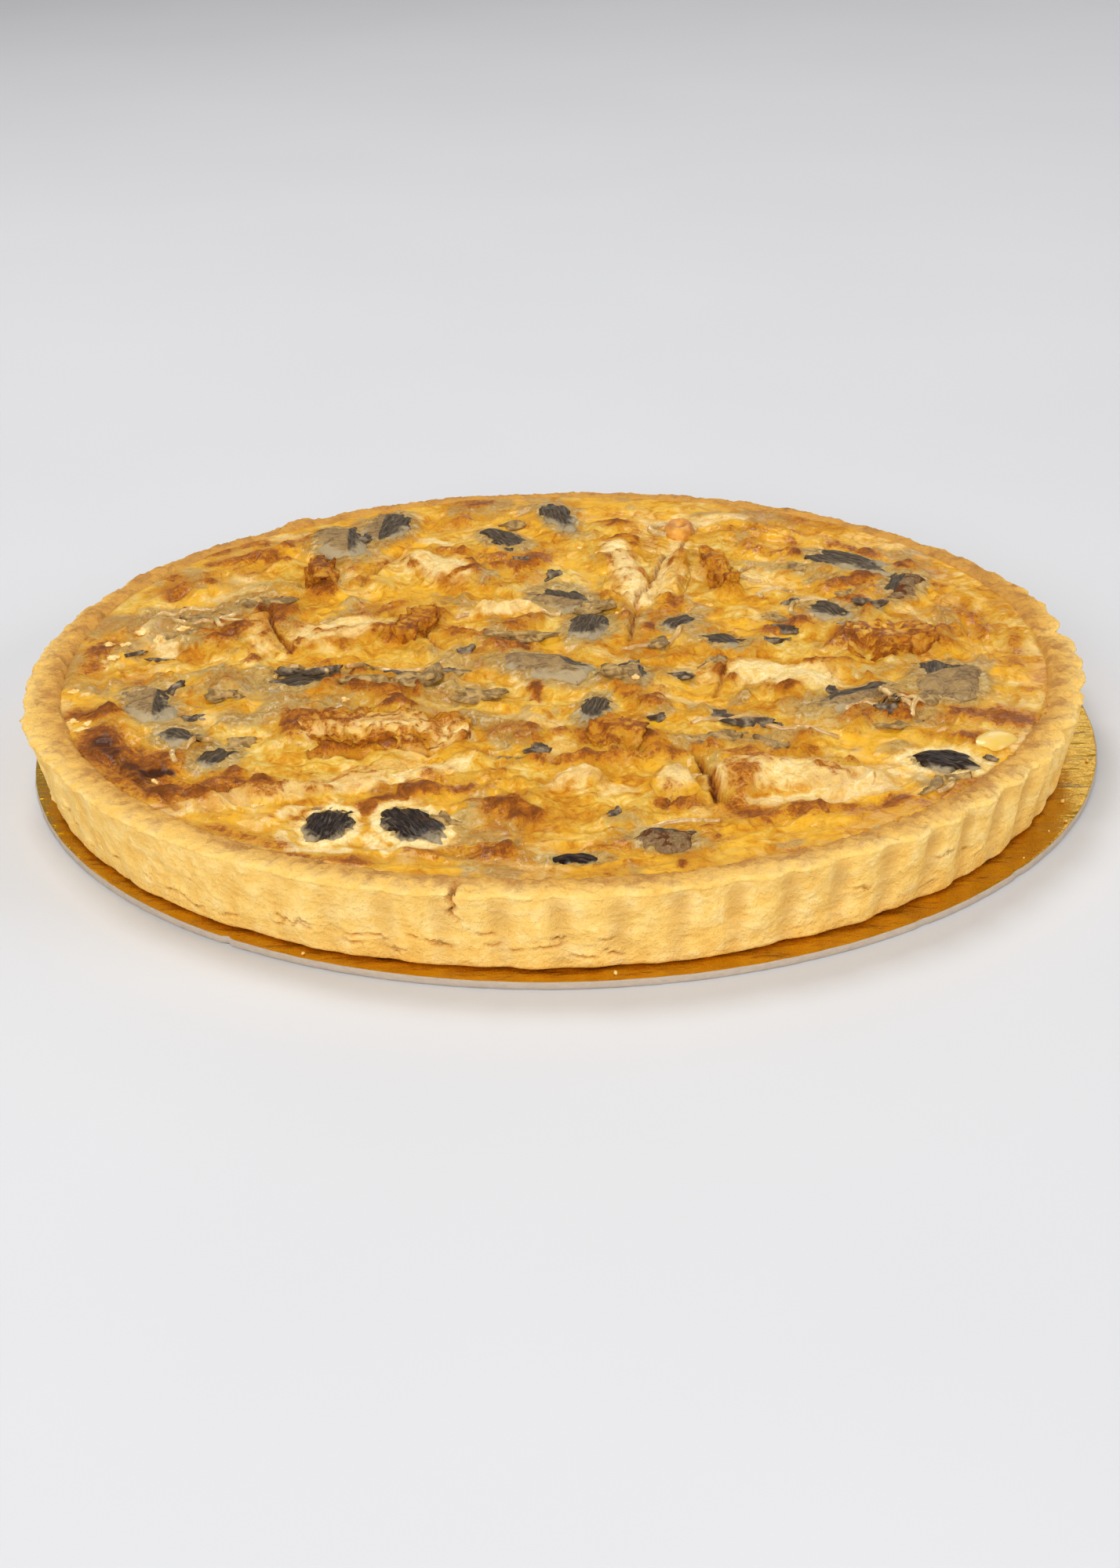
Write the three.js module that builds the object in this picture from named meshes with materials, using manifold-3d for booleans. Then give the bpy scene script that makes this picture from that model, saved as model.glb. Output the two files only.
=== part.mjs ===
import * as THREE from "three";
import { mergeVertices } from "three/addons/utils/BufferGeometryUtils.js";
import Module from "manifold-3d";

// An aubergine and white cheese quiche: a fluted shortcrust case filled with baked custard,
// with the larger pieces of its filling standing out of the top, on its thin gold-faced card.
// Millimetres, +Z up, origin at the middle of the card's underside.

// ---- driving sizes ----
const CARD_RADIUS = 140;
const CARD_THICKNESS = 2;
const CARD_SEGMENTS = 80;

const QUICHE_OFF_CENTRE = [-2.5, -1.8]; // where the quiche was set down on its card
const CASE_RADIUS = 137.5; // over the crests of the flutes, at the top edge
const CASE_HEIGHT = 21.4; // to the crown of the rim
const BASE_THICKNESS = 4;
const FLUTES = 65;
const FLUTE_DEPTH = 3.8;
const STEPS_PER_FLUTE = 4;

const FILLING_RADIUS = 128; // the rim's inner edge
const FILLING_EDGE_HEIGHT = 20.2;
const FILLING_RINGS = 6;
const FILLING_SEGMENTS = 48;
const WALL_LEAN = 3.2; // how much narrower the filling is at the bottom
const CLEARANCE = 0.3; // between pieces that only lie against each other

const wasm = await Module();
wasm.setup();

// ---- meshes and solids ----
function toSolid(geometry) {
  const bare = new THREE.BufferGeometry();
  bare.setAttribute("position", geometry.getAttribute("position"));
  bare.setIndex(geometry.index);
  const merged = mergeVertices(bare, 1e-4);
  return new wasm.Manifold(
    new wasm.Mesh({
      numProp: 3,
      vertProperties: merged.attributes.position.array,
      triVerts: new Uint32Array(merged.index.array),
    }),
  );
}

function toGeometry(solid) {
  const { vertProperties, triVerts } = solid.getMesh();
  return new THREE.BufferGeometry()
    .setAttribute("position", new THREE.BufferAttribute(new Float32Array(vertProperties), 3))
    .setIndex(new THREE.BufferAttribute(new Uint32Array(triVerts), 1));
}

function eachVertex(geometry, change) {
  const position = geometry.getAttribute("position");
  const point = new THREE.Vector3();
  for (let i = 0; i < position.count; i += 1) {
    change(point.fromBufferAttribute(position, i));
    position.setXYZ(i, point.x, point.y, point.z);
  }
  return geometry;
}

function named(name, geometry, color, roughness, metalness = 0) {
  const material = new THREE.MeshStandardMaterial({ color, roughness, metalness });
  const mesh = new THREE.Mesh(geometry, material);
  mesh.name = name;
  return mesh;
}

// A profile of [radius, height] pairs turned about +Z, from the axis out and back to it.
function turned(profile, segments) {
  const points = profile.map(([radius, height]) => new THREE.Vector2(radius, height));
  return new THREE.LatheGeometry(points, segments).rotateX(Math.PI / 2);
}

// ---- the card: a grey board disc faced with gold foil ----
function goldCard() {
  const profile = [
    [0, 0],
    [CARD_RADIUS, 0],
    [CARD_RADIUS, CARD_THICKNESS],
    [0, CARD_THICKNESS],
  ];
  return named("gold_card", turned(profile, CARD_SEGMENTS), 0xd9a532, 0.3, 0.9);
}

// ---- the pastry case ----
// The outside of the wall: radius over the crests, height, and how deep the flutes are there.
const OUTSIDE = [
  [CASE_RADIUS - 4.2, 0, 0.35],
  [CASE_RADIUS, CASE_HEIGHT - 2.6, 1],
  [CASE_RADIUS - 1.6, CASE_HEIGHT - 0.8, 0.75],
  [CASE_RADIUS - 5.6, CASE_HEIGHT, 0],
];

// 1 in the middle of a flute's scoop and 0 on the crest between two. A scoop faces -Y.
function scoop(angle) {
  return (1 + Math.cos(FLUTES * (angle + Math.PI / 2))) / 2;
}

function fluteDepth(radius, height) {
  const row = OUTSIDE.find(([r, h]) => Math.hypot(r - radius, h - height) < 0.01);
  return row ? FLUTE_DEPTH * row[2] : 0;
}

function pastryCase() {
  const profile = [
    [0, 0],
    ...OUTSIDE.map(([radius, height]) => [radius, height]),
    [FILLING_RADIUS, CASE_HEIGHT - 1],
    [FILLING_RADIUS - WALL_LEAN, BASE_THICKNESS],
    [0, BASE_THICKNESS],
  ];
  const geometry = turned(profile, FLUTES * STEPS_PER_FLUTE);
  eachVertex(geometry, (point) => {
    const radius = Math.hypot(point.x, point.y);
    if (radius < 1) return;
    const inset = fluteDepth(radius, point.z) * scoop(Math.atan2(point.y, point.x));
    point.x *= 1 - inset / radius;
    point.y *= 1 - inset / radius;
  });
  return named("pastry_case", geometry, 0xe3b163, 0.8);
}

// ---- the larger pieces of the filling ----
// name, x, y, length, width, thickness, rise above the custard, turn, tilt
// x and y are measured from the middle of the quiche; turn and tilt are in degrees.
const CHEESE = [
  ["cheese_front_slab", 57, -80, 38, 20, 11, 2.6, -8, 2],
  ["cheese_long_slab", -46, -72, 42, 12, 11, 2.8, 17, -3],
  ["cheese_crusted_slab", -41, -49, 45, 19, 11, 3.2, -3, 2],
  ["cheese_left_slab", -57, 17, 26, 24, 11, 2.4, -30, 2],
  ["cheese_far_left_slab", -79, 15, 13, 28, 10, 1.6, 14, -2],
  ["cheese_back_slab", -31, 68, 20, 26, 11, 2.6, 20, 4],
  ["cheese_tall_slab", 21, 57, 13, 50, 10, 1.8, -10, 1],
  ["cheese_seam_slab", 34, 50, 8, 40, 10, 1.8, -14, -2],
  ["cheese_right_slab", 58, -20, 26, 32, 11, 2.8, 24, 3],
];

const CURDS = [
  ["curd_right", 89, 2, 26, 22, 10, 3, -12, -2],
  ["curd_front", 15, -56, 15, 17, 9, 3.2, 10, 3],
  ["curd_tall", -37, 19, 9, 25, 9, 3.6, -20, 3],
  ["curd_back", -66, 61, 9, 22, 9, 3.4, 14, 2],
  ["curd_pale", 5, -79, 13, 12, 8, 2.4, -12, -2],
  ["curd_gold", 28, -84, 14, 16, 9, 2.2, 12, 3],
  ["curd_strip", -13, 30, 24, 8, 8, 1.6, 8, 0],
  ["curd_orange", 48, 56, 9, 30, 9, 2.2, 8, 3],
];

const AUBERGINE = [
  ["aubergine_skin_front_1", -52.6, -98.5, 16, 11, 7, 0.8, 82, -3],
  ["aubergine_skin_front_2", -33, -99.8, 19, 12, 7, 0.8, -62, -4],
  ["aubergine_skin_right", 93.2, -71.2, 16, 10.5, 7, 1, -28, -4],
  ["aubergine_cube_right", 100, -25.5, 21, 16, 11, 3, 84, -4],
  ["aubergine_bar_back", 85.5, 62, 24, 9.5, 9, 2.4, -42, 4],
  ["aubergine_scorched", 98, 44, 19, 9.5, 8, 2.2, 68, 4],
  ["aubergine_skin_middle", 9.5, 18, 16.5, 10.5, 7, 1.4, 80, -5],
  ["aubergine_skin_back", 2, 107, 24, 8, 8, 2.4, 104, 6],
  ["aubergine_leaf_back", -49.6, 99.5, 25, 11.5, 8, 2.6, 76, 5],
  ["aubergine_cube_back", -62, 86.5, 24, 12.5, 11, 3.2, 104, 5],
  ["aubergine_grey_middle", 3, 40, 20, 14, 8, 1.6, 120, 2],
  ["aubergine_curl", 9.5, -39, 15.5, 7, 7, 1.8, 78, -4],
  ["aubergine_round", 20, -18.5, 12.5, 7.5, 7, 2, 96, -3],
  ["aubergine_slice", -2, -12.5, 25, 13, 7, 2.6, -34, 6],
  ["aubergine_shreds_left", -66, -12.6, 18, 10, 7, 1, 18, 2],
  ["aubergine_wedge_left", -103, -27, 23, 10, 8, 1.2, -66, 3],
  ["aubergine_flesh_left_1", -93.5, -46, 11, 9, 7, 1, -30, 2],
  ["aubergine_flesh_left_2", -83, -59.6, 12, 9, 7, 1, 70, 2],
  ["aubergine_grey_right", 34.5, 20, 12.5, 8.5, 7, 1.4, 50, 2],
  ["aubergine_grey_far", 75.5, 26.5, 13, 10, 7, 1.4, -52, 2],
  ["aubergine_grey_seam", 45, 6, 12, 7, 6, 1, -40, 2],
  ["aubergine_strip_right", 75, -34.5, 24, 7.5, 7, 2.2, 30, -3],
  ["aubergine_sliver_front", 4, -118.4, 13, 4, 5, 0.8, 0, 0],
  ["aubergine_scorched_front", 24, -110.8, 14, 8, 6, 1.8, -8, -3],
  ["aubergine_scorched_back", -14, 91, 19, 9, 7, 1.4, -58, 4],
];

const VEGETABLES = [
  ["garlic_clove", 105.4, -60.6, 13, 10, 8, 1.6, 40, -4],
  ["onion_ring_back", 38, 99, 20, 10, 7, 2, 84, 5],
];

// Each family of pieces: its rows, colour, roughness, and how square its pieces are.
const FAMILIES = [
  [CHEESE, 0xf0d9a0, 0.6, 3.8],
  [CURDS, 0xdca65a, 0.65, 2.4],
  [AUBERGINE, 0x574a42, 0.4, 3.2],
  [VEGETABLES, 0xe9cf7e, 0.45, 2.6],
];
const LUMP_AROUND = 8;
const LUMP_DOWN = 4;
const LUMP_WOBBLE = 0.06;

// A soft-cornered lump: a sphere drawn out towards a block, slightly uneven all round.
function lump(length, width, thickness, squareness, seed) {
  const half = new THREE.Vector3(length, width, thickness).multiplyScalar(0.5);
  const sphere = new THREE.SphereGeometry(1, LUMP_AROUND, LUMP_DOWN).rotateX(Math.PI / 2);
  return eachVertex(sphere, (point) => {
    const wobble = LUMP_WOBBLE * Math.sin(3 * point.x + seed) * Math.cos(4 * point.y - seed);
    const sum = point.toArray().reduce((total, c) => total + Math.abs(c) ** squareness, 0);
    point.multiplyScalar((1 - LUMP_WOBBLE + wobble) * sum ** (-1 / squareness)).multiply(half);
  });
}

// The slow unevenness of the baked surface.
function fillingHeight(x, y) {
  const share = Math.min(1, Math.hypot(x, y) / FILLING_RADIUS);
  const swell = 0.5 * Math.sin(x / 17 + 1) * Math.cos(y / 21) + 0.4 * Math.sin((x - y) / 29);
  return FILLING_EDGE_HEIGHT + (1 - share ** 6) * (0.9 + swell);
}

function placedLump(row, squareness, grow = 0) {
  const [, x, y, length, width, thickness, rise, turn, tilt] = row;
  return lump(length + 2 * grow, width + 2 * grow, thickness + 2 * grow, squareness, x + y)
    .rotateY(THREE.MathUtils.degToRad(tilt))
    .rotateZ(THREE.MathUtils.degToRad(turn))
    .translate(x, y, fillingHeight(x, y) + rise - thickness / 2);
}

function topPieces() {
  return FAMILIES.flatMap(([rows, color, roughness, squareness]) =>
    rows.map((row) => named(row[0], placedLump(row, squareness), color, roughness)),
  );
}

// ---- the custard, with a pocket round each piece baked into it ----
function custard() {
  const rings = Array.from({ length: FILLING_RINGS }, (_, i) => [
    (FILLING_RADIUS - CLEARANCE) * (1 - i / FILLING_RINGS),
    FILLING_EDGE_HEIGHT,
  ]);
  const profile = [
    [0, BASE_THICKNESS],
    [FILLING_RADIUS - WALL_LEAN - CLEARANCE, BASE_THICKNESS],
    ...rings,
    [0, FILLING_EDGE_HEIGHT],
  ];
  const body = eachVertex(turned(profile, FILLING_SEGMENTS), (point) => {
    if (point.z > BASE_THICKNESS + 1) point.z = fillingHeight(point.x, point.y);
  });
  const pockets = FAMILIES.flatMap(([rows, , , squareness]) =>
    rows.map((row) => toSolid(placedLump(row, squareness, CLEARANCE))),
  );
  const cut = pockets.reduce((left, pocket) => left.subtract(pocket), toSolid(body));
  return named("custard", toGeometry(cut), 0xe8b84e, 0.45);
}

const quiche = new THREE.Group();
quiche.position.set(...QUICHE_OFF_CENTRE, CARD_THICKNESS);
quiche.add(pastryCase(), custard(), ...topPieces());

const part = new THREE.Group();
part.add(goldCard(), quiche);

export default part;
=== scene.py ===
import math
import random

import bmesh
import bpy
import numpy as np
from mathutils import Matrix, Vector, noise


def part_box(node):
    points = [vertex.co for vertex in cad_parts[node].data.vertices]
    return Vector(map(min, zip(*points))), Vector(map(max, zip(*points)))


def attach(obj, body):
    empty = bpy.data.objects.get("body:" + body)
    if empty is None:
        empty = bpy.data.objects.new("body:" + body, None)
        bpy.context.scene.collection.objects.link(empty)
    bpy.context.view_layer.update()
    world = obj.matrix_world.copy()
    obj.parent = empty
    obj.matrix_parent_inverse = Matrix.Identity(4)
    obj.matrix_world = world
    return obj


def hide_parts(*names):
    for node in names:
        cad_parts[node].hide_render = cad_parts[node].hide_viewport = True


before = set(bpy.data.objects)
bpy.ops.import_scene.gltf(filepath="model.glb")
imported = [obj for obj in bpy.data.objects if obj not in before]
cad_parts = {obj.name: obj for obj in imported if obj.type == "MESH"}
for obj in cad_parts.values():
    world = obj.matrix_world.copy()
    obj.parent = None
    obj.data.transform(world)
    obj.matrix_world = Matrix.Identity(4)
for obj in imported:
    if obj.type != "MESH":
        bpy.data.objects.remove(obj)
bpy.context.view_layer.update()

# ---- The card ----
# A disc of grey board 2 mm thick with gold foil on its upper face, die-cut, its edge left raw.
# The foil has a fine brushed grain and stops a hair short of the cut.
MM = 0.001


def tone(hex_code):
    """The linear colour of a six-digit hex code."""
    channels = (int(hex_code[i : i + 2], 16) / 255 for i in (0, 2, 4))
    return tuple(c / 12.92 if c <= 0.04045 else ((c + 0.055) / 1.055) ** 2.4 for c in channels) + (1,)


class Amount:
    """A number that varies over a surface. Arithmetic on it adds the Math nodes."""

    def __init__(self, tree, socket):
        self.tree, self.socket = tree, socket

    def join(self, operation, first, second=0.0):
        maths = self.tree.nodes.new("ShaderNodeMath")
        maths.operation = operation
        for slot, value in zip(maths.inputs, (first, second)):
            if isinstance(value, Amount):
                self.tree.links.new(value.socket, slot)
            else:
                slot.default_value = value
        return Amount(self.tree, maths.outputs[0])

    def __add__(self, other):
        return self.join("ADD", self, other)

    __radd__ = __add__

    def __mul__(self, other):
        return self.join("MULTIPLY", self, other)

    __rmul__ = __mul__

    def __sub__(self, other):
        return self.join("SUBTRACT", self, other)

    def __rsub__(self, other):
        return self.join("SUBTRACT", other, self)


class Finish:
    """One material: its shader, and the nodes that vary it."""

    def __init__(self, name, **fixed):
        self.material = bpy.data.materials.new(name)
        self.material.use_nodes = True
        self.tree = self.material.node_tree
        self.shader = self.tree.nodes["Principled BSDF"]
        for socket, value in fixed.items():
            self.shader.inputs[socket.replace("_", " ")].default_value = value
        self.where = self.node("ShaderNodeTexCoord", out="Object")

    def node(self, kind, inputs=None, out=0, stops=None, **settings):
        made = self.tree.nodes.new(kind)
        for setting, value in settings.items():
            setattr(made, setting, value)
        if stops:
            ramp = made.color_ramp
            while len(ramp.elements) < len(stops):
                ramp.elements.new(0.5)
            for element, (place, colour) in zip(ramp.elements, stops):
                element.position, element.color = place, tone(colour)
        for socket, value in (inputs or {}).items():
            if isinstance(value, Amount):
                self.tree.links.new(value.socket, made.inputs[socket])
            else:
                made.inputs[socket].default_value = value
        return Amount(self.tree, made.outputs[out])

    def grain(self, scale, detail=3.0, roughness=0.5, stretch=None, warp=0.0):
        """Cloudy unevenness from 0 to 1. scale is in lumps per metre."""
        where = self.where
        if stretch:
            where = self.node("ShaderNodeMapping", {"Vector": where, "Scale": stretch})
        settings = {"Vector": where, "Scale": scale, "Detail": detail, "Roughness": roughness, "Distortion": warp}
        return self.node("ShaderNodeTexNoise", settings)

    def step(self, amount, low, high):
        """0 below low, 1 above high, smooth between."""
        ends = {"Value": amount, "From Min": low, "From Max": high}
        return self.node("ShaderNodeMapRange", ends, interpolation_type="SMOOTHSTEP")

    def attribute(self, name):
        return self.node("ShaderNodeAttribute", out="Fac", attribute_name=name)

    def blend(self, share, first, second):
        """A colour: first where share is 0, second where it is 1. Either may be a hex code."""
        first, second = (tone(end) if isinstance(end, str) else end for end in (first, second))
        ends = {0: share, 6: first, 7: second}
        return self.node("ShaderNodeMix", ends, out=2, data_type="RGBA")

    def layered(self, colour, *coats):
        """A colour under coats of others. Each coat: its share, its colour."""
        for share, coat in coats:
            colour = self.blend(share, colour, coat)
        return colour

    def drive(self, **sockets):
        for socket, value in sockets.items():
            self.tree.links.new(value.socket, self.shader.inputs[socket.replace("_", " ")])

    def bump(self, *heights):
        """heights: pairs of an Amount and how many millimetres it stands for."""
        normal = None
        for height, depth in heights:
            inputs = {"Height": height, "Distance": depth * MM, "Strength": 1.0}
            if normal:
                inputs["Normal"] = normal
            normal = self.node("ShaderNodeBump", inputs)
        self.drive(Normal=normal)


def stood(name, data):
    """An object of its own in the scene."""
    made = bpy.data.objects.new(name, data)
    bpy.context.scene.collection.objects.link(made)
    return made


def shown(name, mesh, finish, node):
    """Puts a finished mesh on show, in place of its CAD node if it has one."""
    if isinstance(mesh, bmesh.types.BMesh):
        built, mesh = mesh, bpy.data.meshes.new(name)
        built.to_mesh(mesh)
        built.free()
    piece = stood(name, mesh)
    mesh.materials.append(finish.material)
    mesh.polygons.foreach_set("use_smooth", [True] * len(mesh.polygons))
    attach(piece, "root")
    if node:
        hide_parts(node)


def turned(profile, steps):
    """Turns a profile of (radius, height) in millimetres about +Z into a closed solid."""
    bm = bmesh.new()
    bmesh.ops.create_grid(bm, x_segments=steps, y_segments=len(profile) - 1, size=1)
    for vert in bm.verts:
        angle = (vert.co.x + 1) * math.pi
        radius, height = profile[round((vert.co.y + 1) / 2 * (len(profile) - 1))]
        vert.co = Vector((radius * math.cos(angle), radius * math.sin(angle), height)) * MM
    bmesh.ops.remove_doubles(bm, verts=bm.verts, dist=1e-6)
    bmesh.ops.recalc_face_normals(bm, faces=bm.faces)
    return bm


card_low, card_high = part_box("gold_card")
card_radius = (card_high[0] - card_low[0]) / 2 / MM
card_top = card_high[2] / MM
FOIL_MARGIN = 0.35

card_profile = [
    (0, 0),
    (60, 0),
    (card_radius - 1, 0),
    (card_radius - 0.25, 0.06),
    (card_radius - 0.04, 0.35),
    (card_radius, 0.9),
    (card_radius - 0.03, card_top - 0.5),
    (card_radius - 0.12, card_top - 0.12),
    (card_radius - FOIL_MARGIN, card_top),
    (card_radius - 1.2, card_top),
    (card_radius - 6, card_top),
    (120, card_top),
    (60, card_top),
    (0, card_top),
]
card_mesh = turned(card_profile, 540)
for vert in card_mesh.verts:
    reach = math.hypot(vert.co.x, vert.co.y) / MM
    if reach > card_radius - 0.8:
        fray = noise.noise(vert.co * 260) * 0.12 + noise.noise(vert.co * 900) * 0.08
        for nick_angle in (-124.0, -55.0, -41.0):
            away = math.degrees(math.atan2(vert.co.y, vert.co.x)) - nick_angle
            fray -= 0.7 * math.exp(-((away / 0.35) ** 2))
        vert.co.xy *= 1 + min(0, fray - 0.1) * MM / (reach * MM)

foil = Finish("gold_foil", Metallic=1.0)
foil_height = foil.node("ShaderNodeSeparateXYZ", {0: foil.where}, out="Z")
on_face = foil.step(foil_height, (card_top - 0.1) * MM, (card_top - 0.02) * MM)
foil_cloud = foil.grain(60, detail=5, stretch=(1, 2.4, 1))
foil_grain = foil.grain(2600, detail=2, stretch=(1, 0.25, 1))
board_fibre = foil.grain(420, detail=5, roughness=0.7, stretch=(1, 1, 3))
gold = foil.blend(foil_cloud, "c4930c", "d4a626")
board = foil.blend(board_fibre, "9c8c7b", "c2b3a3")
foil.drive(
    Base_Color=foil.blend(on_face, board, gold),
    Metallic=on_face,
    Roughness=0.9 - on_face * (0.68 - 0.14 * foil_grain),
)
foil.bump((foil_grain * on_face, 0.02), (board_fibre * (1 - on_face), 0.15), (foil_cloud, 1.8))
shown("cake_card", card_mesh, foil, "gold_card")

# ---- The pastry case ----
# Sweetless shortcrust pressed into a fluted loose-bottomed tin and trimmed level with its edge.
# The scoops of the tin show down the wall; the trimmed top is torn and pitted, and baked darker.
case_low, case_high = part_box("custard")
middle_x = (case_low[0] + case_high[0]) / 2 / MM
middle_y = (case_low[1] + case_high[1]) / 2 / MM
rim_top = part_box("pastry_case")[1][2] / MM

CREST_RADIUS = 137.5
INNER_RADIUS = 128.0
BASE_RADIUS = 133.4
FLUTES = 65
SCOOP_DEPTH = 2.5
STEPS_PER_FLUTE = 17
WALL_ROWS = 44

edge_height = rim_top - 1.4  # where the wall ends and the trimmed top begins
floor_height = card_top + 4  # the base of the case is 4 mm thick
case_profile = [(0, card_top), (60, card_top), (110, card_top), (126, card_top)]
case_profile += [(BASE_RADIUS - 3.5, card_top), (BASE_RADIUS - 1.2, card_top + 0.15)]
case_profile += [(BASE_RADIUS - 0.35, card_top + 0.7)]
wall_foot = card_top + 1.3
for i in range(WALL_ROWS):
    share = i / (WALL_ROWS - 1)
    radius = BASE_RADIUS + (CREST_RADIUS - BASE_RADIUS) * share
    case_profile.append((radius, wall_foot + (edge_height - wall_foot) * share))
# the trimmed top, from its outer corner inwards: how far in from the crests, how far up
for inset, up in [
    (0.05, 0.35), (0.35, 0.7), (0.9, 0.95), (1.7, 1.1), (2.6, 1.2), (3.6, 1.25),
    (4.6, 1.3), (5.6, 1.3), (6.5, 1.25), (7.3, 1.15), (8.1, 0.95), (8.8, 0.6),
]:
    case_profile.append((CREST_RADIUS - inset, edge_height + up))
case_profile += [
    (INNER_RADIUS + 0.1, edge_height - 0.1), (INNER_RADIUS - 0.4, edge_height - 1.0),
    (INNER_RADIUS - 1.6, edge_height - 7), (INNER_RADIUS - 3.0, floor_height + 0.4),
    (INNER_RADIUS - 4.4, floor_height), (100, floor_height), (50, floor_height), (0, floor_height),
]
case_mesh = turned(case_profile, FLUTES * STEPS_PER_FLUTE)
# The one crack right through the rim: angle, how low it runs, half-width, depth
CRACK_ANGLE, CRACK_LOW, CRACK_WIDTH, CRACK_DEPTH = -99.9, 13.5, 0.6, 2.4
# Short tears low on the wall, where the dough was stretched into the tin: angle, height, half-length, slope
tear_chance = random.Random(65)
tears = {}
for _ in range(110):
    at, height = tear_chance.uniform(-180, 180), tear_chance.triangular(4.2, 14, 6.5)
    tear = (at, height, tear_chance.triangular(1.0, 4.4, 1.4), tear_chance.uniform(-0.3, 0.3))
    for neighbour in (-1, 0, 1):
        tears.setdefault((int(at // 3) + neighbour) % 120, []).append(tear)

# Faults of the dough: (angle, half-angle, how far it pushes the rim out, up), in degrees and millimetres
rim_faults = [
    (124.6, 2.6, 1.8, 1.0), (4.5, 1.6, -2.2, -1.6), (-1.0, 1.2, 0.7, 0.5), (150, 3.5, 0.8, 0.4), (197, 4, 1.2, 0.2),
]
THIN_BACK, LOW_BACK = 2.6, 1.1  # the far side was trimmed thinner and lower than the near one, in millimetres


def clamp(value):
    return min(1.0, max(0.0, value))


def bell(away, half_width):
    return math.exp(-((away / half_width) ** 2))


def far_side(x, y):
    """0 all along the near side of the round, rising to 1 at the far side."""
    share = clamp((y / max(1.0, math.hypot(x, y)) + 0.1) / 0.9)
    return share * share * (3 - 2 * share)


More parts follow.
